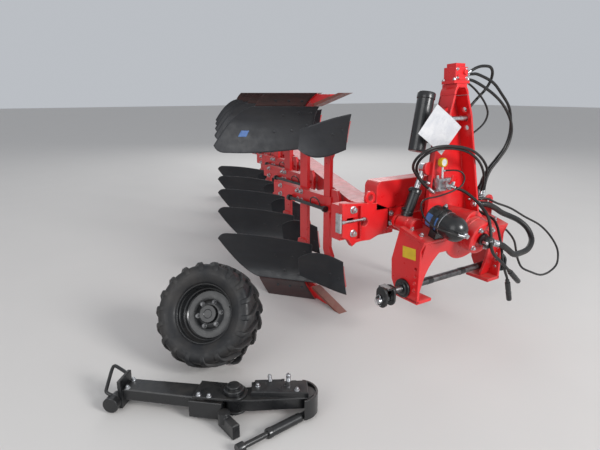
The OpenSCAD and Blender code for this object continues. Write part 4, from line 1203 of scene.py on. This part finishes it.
class PLOUGH_OT_hydraulics(Operator):
    """Valve block with levers, gauge, accumulator with its strap, document tube and turnover cylinder."""

    bl_idname = "plough.hydraulics"
    bl_label = "Hydraulics"

    def execute(self, context):
        self.valve_block()
        self.accumulator()
        head_piece("document_tube_lidded", document_tube(), "black_paint", "document_tube")
        barrel = [(0, 45), (38, 45), (38, 60), (41, 62), (41, 78), (38, 80), (38, 214), (42, 216), (42, 246),
                  (39, 250), (0, 250)]
        forms = [RAM.hold(lathe(barrel, 48))]
        forms += [RAM.hold(rod(12, 22), -38, 0, z, turn_about(1, -90)) for z in (90, 226)]
        head_piece("barrel_ringed", forms, "black_paint", "turnover_barrel")
        return {"FINISHED"}

    def valve_block(self):
        """Valve block with its ports, gauge and levers."""
        block = [MAST.hold(box(125, 85, 80, 3), -162, 205, 18.3),
                 MAST.hold(box(46, 40, 46, 2), -150, 236, 98.3),
                 MAST.hold(rod(13, 30), -60, 252, 98),
                 MAST.hold(rod(13, 26), -100, 226, 98),
                 MAST.hold(rod(11, 20), -142, 290, 60, ALONG_Y)]
        head_piece("valve_block_ported", block, "plated_steel", "valve_block")
        x, height = -104, 395
        case = lathe([(0, 0), (28, 0), (31, 3), (31, 30), (28, 36), (25, 36), (24, 32), (0, 32)], 40)
        head_piece("gauge_case", MAST.hold(case, x, height, 50), "gauge_yellow", "pressure_gauge")
        head_piece("gauge_dial", MAST.hold(rod(23.5, 2, 0.5, 40), x, height, 81.7), "paper")
        head_piece("gauge_stem", MAST.hold(rod(7, 76), x, 290.2, 68, ALONG_Y), "paper")
        lever = [MAST.hold(rod(4, 40, 1, 12), -127, 256, 140, turn_about(0, -35)),
                 MAST.hold(box(14, 60, 10, 3), -134, 262, 150, turn_about(0, 20))]
        head_piece("lever_red", lever, "red_paint")
        head_piece("lever_white", MAST.hold(box(15, 26, 12, 3), -110, 250, 152, turn_about(0, 20)), "paper")

    def accumulator(self):
        """Accumulator with its saddle and strap, line and sticker."""
        x, height = ACCUMULATOR
        foot = 445.3
        body = [(0, -110), (70, -110), (79, -105), (82, -98), (82, -4), (83.5, -3), (83.5, 3), (82, 4),
                (82, 76), *arc(0, 80, 82, 0, 88, 21), (0, 162)]
        form = FRONT.hold(lathe(body, 72), x, height, 0)
        head_piece("accumulator_domed", form, "black_paint", "accumulator", crease=50.0)
        strap = lathe([(82.4, -50), (88, -50), (88, -20), (82.4, -20)], 72, True)
        saddle = [(-70, 0), (70, 0), (70, 48), *arc(0, height - foot, 82.6, 318, 222, 14), (-70, 48)]
        forms = [FRONT.hold(strap, x, height, 0), FRONT.hold(cut(saddle, 60), x, foot, -50),
                 FRONT.hold(box(26, 24, 30, 3), x - 13, 632, -50)]
        head_piece("accumulator_saddle", forms, "black_paint", "accumulator_clamp")
        line = lathe([(83.6, 12), (85, 12), (85, 17), (83.6, 17)], 72, True)
        forms = [FRONT.hold(line, x, height, 0), set_bolts(FRONT, [(x, 656, -35)], (0, 1, 0), 0.018)]
        head_piece("accumulator_line", forms, "plated_steel")
        label = sheet_form(accumulator_sticker, 16, 3, 0.4, 0.05)
        head_piece("accumulator_label", FRONT.hold(label, x, height, 0), "label_blue")


def turnover_plates():
    """Turnover arm: cheek with its slot and lifting eye, box behind it, wing to the beam, and two ears
    round the swing pin."""
    outline = [(-344, 160), (-338, -73), (-285, -99), (-249, -150), (-215, -129), (-179, -125), (-89, -129),
               (2, -100), (60, -70), (85, -54), (76, 79), (-48, 130)]
    slot = [(-218, -105), (-182, -105), (-182, 125), (-218, 125), (-218, 52), (-300, 52), (-300, 18),
            (-218, 18)]
    through, end = hole(-149, 10, 60), 521.6
    wing = [(60, 85.3), (60, -60), (190, -110), (end, -110), (end, 85.3)]
    arm = [(-48, 74.3), (end, 74.3), (end, 275), *arc(-3, 230, 45, 90, 180, 10)]
    forms = [CAST.hold(cut(outline, 26, [slot, through], 4), 0, 0, -26),
             CAST.hold(cut(outline, 15, [through], 3), 0, 0, -40),
             CAST.hold(box(115, 240, 105, 4), -338, -100, -130),
             CAST.hold(cut(hole(-100, 172, 90, 36), 23, [hole(-100, 172, 45)], 3), 0, 0, -23),
             CAST.hold(cut(wing, 24, edge=3), 0, 0, -24),
             CAST.hold(cut(arm, 130, edge=4), 0, 0, -130)]
    ear = [(-110, 24), (140, 24), (140, 210), (110, 244), (-80, 244), (-110, 210)]
    forms += [GROUND.hold(cut(ear, 40, [hole(0, 134, 71)], 4), -421.6, 266, z) for z in (744.7, 935.3)]
    return forms


class PLOUGH_OT_turnover(Operator):
    """Turnover arm: casting with slots and lifting eye, box, ears round the swing pin, and its adjuster."""

    bl_idname = "plough.turnover"
    bl_label = "Turnover arm"

    def execute(self, context):
        mesh_piece("turnover_casting", turnover_plates(), "red_paint", "turnover", ("turnover_arm",))
        large = [(-672, 266, 967), (-670, 266, 804)]
        lesser = [(-330, 266, 900), (-330, 266, 830), (60, 266, 1110), (60, 266, 960)]
        forms = [set_bolts(GROUND, large, (0, -1, 0), 0.036), set_bolts(GROUND, lesser, (0, -1, 0), 0.026),
                 CAST.hold(rod(8, 228, 1, 20), -378, 35, 8.3, ALONG_X),
                 CAST.hold(box(50, 130, 16, 2), -386, -30, 33.3, ALONG_X)]
        nut = bolt_head(False).put(size=0.026)
        forms += [CAST.hold(nut, x, 35, 8.3, ALONG_X) for x in (-358, -346, -176)]
        mesh_piece("adjuster_with_nuts", forms, "plated_steel", "turnover", ("adjuster_rod",))
        return {"FINISHED"}


class PLOUGH_OT_hitch(Operator):
    """Cross shaft with its bands, flanges, forked couplers, link pins and linch pins."""

    bl_idname = "plough.hitch"
    bl_label = "Hitch"

    def execute(self, context):
        shaft = [(0, -566), (20, -566), (22, -563), (22, -440), (25, -438), (25, 438), (22, 440), (22, 563),
                 (20, 566), (0, 566)]
        head_piece("cross_shaft_turned", SHAFT.hold(lathe(shaft, 40)), "dark_bolt", "cross_shaft")
        bands = [SHAFT.hold(lathe([(25.1, x - 24), (27, x - 24), (27, x + 24), (25.1, x + 24)], 40, True))
                 for x in (-190, 150)]
        flange = [(22.1, 0.3), (63, 0.3), (65, 3), (65, 15), (62, 19), (44, 20.3), (40, 26), (34, 28),
                  (22.1, 28)]
        collar = [(22.1, 0), (34, 0), (36, 3), (36, 15), (33, 18), (22.1, 18)]
        pin = [(0, 0), (16, 0), (18.3, 3), (18.3, 108), (16, 114), (0, 114)]
        head = [(0, 0), (24, 0), (26, 2), (26, 8), (24, 10), (0, 10)]
        cheek = [*arc(0, SHAFT_HIGH, 50, 0, 180, 20), *arc(0, PIN_HIGH, 50, 180, 360, 20)]
        loop = [(644, 0, 432), (640, -16, 440), (646, -34, 424), (652, -38, 396), (650, -26, 372),
                (644, 0, 372), (644, 12, 380)]
        couplers, pins, clips = [], [], []
        for face in (turn_about(2, 180), turn_about(2, 0)):
            ends, low = (Seat((0, 0, high), face @ ALONG_X) for high in (SHAFT_HIGH, PIN_HIGH))
            upright, bridge = Seat((0, 0, 0), face @ SIDEWAYS), Seat((0, 0, 0), face)
            bands.append(ends.hold(lathe(flange, 56, True), 0, 0, HEAD_HALF))
            fork = cut(cheek, 18, [hole(0, PIN_HIGH, 37)], 3)
            couplers += [upright.hold(fork, 0, 0, x) for x in (548, 618)]
            couplers.append(bridge.hold(box(54, 90, 14, 2), 565, -45, 480))
            couplers.append(ends.hold(lathe(collar, 40, True), 0, 0, 530))
            pins.append(low.hold(lathe(pin, 36), 0, 0, 548))
            pins.append(low.hold(lathe(head, 36), 0, 0, 537.5))
            pins.append(set_bolts(ends, [(0, 0, 463.5)], (0, 0, 1), 0.030))
            clips.append(bridge.hold(rod(5, 44, 1, 16), 644, 0, 393))
            clips.append(swept(curve(bridge.line(loop), 0.004), 0.0022, 8))
        head_piece("shaft_bands", bands, "black_paint", "shaft_flanges")
        head_piece("couplers_forked", couplers, "black_paint", "link_couplers")
        head_piece("coupler_pins_headed", pins, "plated_steel", "coupler_pins")
        head_piece("linch_pins_looped", clips, "plated_steel", "linch_pins")
        return {"FINISHED"}


class PLOUGH_OT_carriers(Operator):
    """Heads and bolts of the leg carriers, and their stays with clamp rings."""

    bl_idname = "plough.carriers"
    bl_label = "Carriers"

    def execute(self, context):
        outline = [(100, -60), (130, -120), (205, -120), (205, 120), (130, 120), (100, 60)]
        head = GROUND.hold(cut(outline, 30, [hole(150, 0, 40)], 3), -30, 0, AXIS_HIGH, SIDEWAYS)
        bolts = []
        for x, rows, heights, way, wide in ((30.3, (612, 672), (822, 898), (1, 0, 0), 0.030),
                                            (-42.2, (612, 672, 960), (822, 898), (-1, 0, 0), 0.030),
                                            (-0.3, (160, 185), (770, 950), (1, 0, 0), 0.024)):
            bolts.append(set_bolts(GROUND, [(x, y, z) for y in rows for z in heights], way, wide))
        stay = [(0, 0), (26, 0), (26, 24), (15, 25), (15, 535), (26, 536), (26, 560), (0, 560)]
        ring = [(-68, 300, 838), (-80, 310, 880), (-92, 350, 900), (-92, 400, 880), (-80, 420, 838)]
        stays = [GROUND.hold(lathe(stay, 28), -68.6, 220, 822, ALONG_Y),
                 swept(curve(GROUND.line(ring), 0.008), 0.005, 8)]
        for name, forms, slot, replaced in (("carrier_heads", [head], "red_paint", ()),
                                            ("carrier_bolts", bolts, "plated_steel", ()),
                                            ("stays_ringed", stays, "black_paint", ("carrier_stays",))):
            mesh_piece(name, for_each_body(joined(forms), origin=np.zeros(3)), slot, "frame", replaced)
        return {"FINISHED"}


class PLOUGH_OT_loose_arm(Operator):
    """Taken-off wheel arm: arm with cheeks, bent hoop and lock, link with its end ring, and its rams."""

    bl_idname = "plough.loose_arm"
    bl_label = "Loose arm"

    def execute(self, context):
        tube = [(0, -55), (470, -65), (470, 65), (0, 55)]
        cheek = [(410, -75), (ARM_LONG, -75), *arc(ARM_LONG, 0, 75, -80, 80, 16), (ARM_LONG, 75), (410, 75)]
        forms = [ARM.hold(cut(tube, 70, edge=6), 0, 0, 60)]
        forms += [ARM.hold(cut(cheek, 14, [hole(ARM_LONG, 0, 112, 36)], 2), 0, 0, z) for z in (46, 130)]
        forms.append(ARM.hold(box(185, 30, 100, 3), 390, -86, 20))
        forms.append(ARM.hold(box(150, 42, 84, 5), 560, -108, 0, turn_about(2, -42)))
        forms.append(ARM.hold(lathe([(0, 0), (30, 0), (32, 2), (32, 56), (30, 60), (0, 60)]), 600, -120, 40))
        head_piece("arm_with_cheeks", forms, "black_paint", "wheel_arm")
        hoop = [(-20, 32, 172), (-52, 50, 176), (-112, 80, 180), (-128, 84, 178), (-130, 62, 170),
                (-112, -34, 118), (-106, -56, 105), (-96, -62, 100), (-40, -66, 80)]
        forms = [swept(curve(ARM.line(hoop), 0.010), 0.010, 16), ARM.hold(box(20, 124, 172, 3), -32, -62, 8),
                 ARM.hold(box(40, 100, 50, 3), -20, -50, 70)]
        for x, y, radius in ((-60, -108, 45), (-52, -62, 40)):
            forms.append(ARM.hold(rod(radius, 46, 3, 40), x, y, 52, ALONG_Y))
        head_piece("arm_hoop_and_lock", forms, "black_paint", "wheel_arm_handle")
        body = [(0, -55), (95, -65), (405, -55), (450, -28), (450, 28), (405, 65), (95, 65), (0, 55)]
        cap = [(95, -32), (405, -55), (405, 65), (95, 65)]
        boss = [(0, 30), (52, 30), (55, 33), (55, 165), (50, 170), (38, 170), (38, 184), (34, 188), (0, 188)]
        ring = arc(355, 0, 106, -76, 76, 24) + arc(355, 0, 92, 74, -74, 24)
        forms = [LINK.hold(lathe(boss, 48)), LINK.hold(cut(body, 69.4, edge=5), 0, 0, 60.3),
                 LINK.hold(cut(cap, 36, edge=5), 0, 0, 125), LINK.hold(cut(ring, 120, edge=2), 0, 0, 20)]
        head_piece("link_with_ring", forms, "black_paint", "wheel_arm_link")
        start, end = LINK.origin + LINK.way(34, -310, 28), LINK.origin + LINK.way(415, -39, 28)
        long = np.linalg.norm(end - start)
        ram = [(0, 0), (24, 0), (26, 3), (26, 40), (15, 42), (15, long - 288), (26, long - 286),
               (28, long - 280), (28, long - 262), (26, long - 260), (26, long - 74), (20, long - 70),
               (20, long - 4), (0, long)]
        upper_ram = [(0, 0), (23, 0), (26, 3), (26, 150), (28, 152), (28, 168), (12, 170), (12, 206),
                     (18, 208), (18, 236), (0, 240)]
        forms = [Seat(start, axes((end - start) / long)).hold(lathe(ram, 32)),
                 LINK.hold(lathe(upper_ram, 32), 110, 82, 128, ALONG_X)]
        head_piece("arm_rams", forms, "black_paint", "wheel_arm_cylinder")
        on_arm = [(18, -42, 130), (14, 36, 130), (440, -60, 144), (500, -64, 144)]
        bolts = [set_bolts(LINK, [(130, 20, 161), (345, -30, 161)], (0, 0, 1), 0.020),
                 set_bolts(ARM, on_arm, (0, 0, 1), 0.020),
                 fitting(0.046, 0.026).put(LINK.at(300, 60, 161), axes((0, 0, 1))),
                 fitting(0.040, 0.022).put(LINK.at(200, 60, 161), axes((0, 0.3, 1)))]
        head_piece("arm_bolts", bolts, "plated_steel")
        return {"FINISHED"}


class PLOUGH_OT_stage(Operator):
    """Pale floor, soft key lamp from the front of the plough, fill and world light."""

    bl_idname = "plough.stage"
    bl_label = "Stage"

    def execute(self, context):
        scene = context.scene
        half = 60.0
        data = bpy.data.meshes.new("floor")
        corners = [(-half, -half, 0), (half, -half, 0), (half, half, 0), (-half, half, 0)]
        data.from_pydata(corners, [], [(0, 1, 2, 3)])
        floor = bpy.data.objects.new("floor", data)
        scene.collection.objects.link(floor)
        made = Finish("studio floor")
        tone = tuple(scene.plough_colours.floor)
        shade = tuple(0.96 * v for v in tone)
        made.set(Base_Color=made.blend(made.noise(1.5, 4.0), tone, shade), Roughness=0.8)
        floor.data.materials.append(made.material)
        lamps = (("key", (1.6, -9.0, 5.2), 3.2, 900.0), ("fill", (-9.0, -3.0, 5.0), 6.0, 260.0),
                 ("back", (5.0, 9.0, 6.0), 5.0, 260.0))
        target = Vector(place(-0.3, 1.5, 0.7))
        for name, spot, width, power in lamps:
            lamp = bpy.data.lights.new(name, "AREA")
            lamp.size, lamp.energy = width, power
            holder = bpy.data.objects.new(name, lamp)
            holder.location = place(*spot)
            holder.rotation_euler = (target - holder.location).to_track_quat("-Z", "Y").to_euler()
            scene.collection.objects.link(holder)
        world = bpy.data.worlds.new("studio")
        world.use_nodes = True
        back = world.node_tree.nodes["Background"]
        back.inputs["Color"].default_value = (0.90, 0.94, 1.0, 1.0)
        back.inputs["Strength"].default_value = 0.55
        scene.world = world
        scene.view_settings.view_transform = "Standard"
        return {"FINISHED"}


class PLOUGH_PT_panel(Panel):
    """Operators, colours and sizes of the plough."""

    bl_label = "Moldboard plough"
    bl_idname = "PLOUGH_PT_panel"
    bl_space_type = "VIEW_3D"
    bl_region_type = "UI"
    bl_category = "Plough"

    def draw(self, context):
        column = self.layout.column()
        for operator in OPERATORS:
            column.operator(operator.bl_idname)
        for group in (context.scene.plough_colours, context.scene.plough_sizes):
            for name in group.bl_rna.properties.keys():
                if name not in ("rna_type", "name"):
                    column.prop(group, name)


OPERATORS = (PLOUGH_OT_camera, PLOUGH_OT_finishes, PLOUGH_OT_hoses, PLOUGH_OT_fittings, PLOUGH_OT_headstock,
             PLOUGH_OT_mast, PLOUGH_OT_hydraulics, PLOUGH_OT_turnover, PLOUGH_OT_hitch, PLOUGH_OT_carriers,
             PLOUGH_OT_bodies, PLOUGH_OT_wheel, PLOUGH_OT_loose_arm, PLOUGH_OT_stage)
CLASSES = (PloughColours, PloughSizes, *OPERATORS, PLOUGH_PT_panel)


def register():
    """Register the classes and hang the colours and sizes on the scene."""
    for item in CLASSES:
        bpy.utils.register_class(item)
    bpy.types.Scene.plough_colours = PointerProperty(type=PloughColours)
    bpy.types.Scene.plough_sizes = PointerProperty(type=PloughSizes)


def unregister():
    """Take the classes and properties away again."""
    del bpy.types.Scene.plough_sizes
    del bpy.types.Scene.plough_colours
    for item in reversed(CLASSES):
        bpy.utils.unregister_class(item)


def main():
    """Make every piece in order."""
    register()
    for operator in OPERATORS:
        family, name = operator.bl_idname.split(".")
        getattr(getattr(bpy.ops, family), name)()


if __name__ == "__main__":
    main()
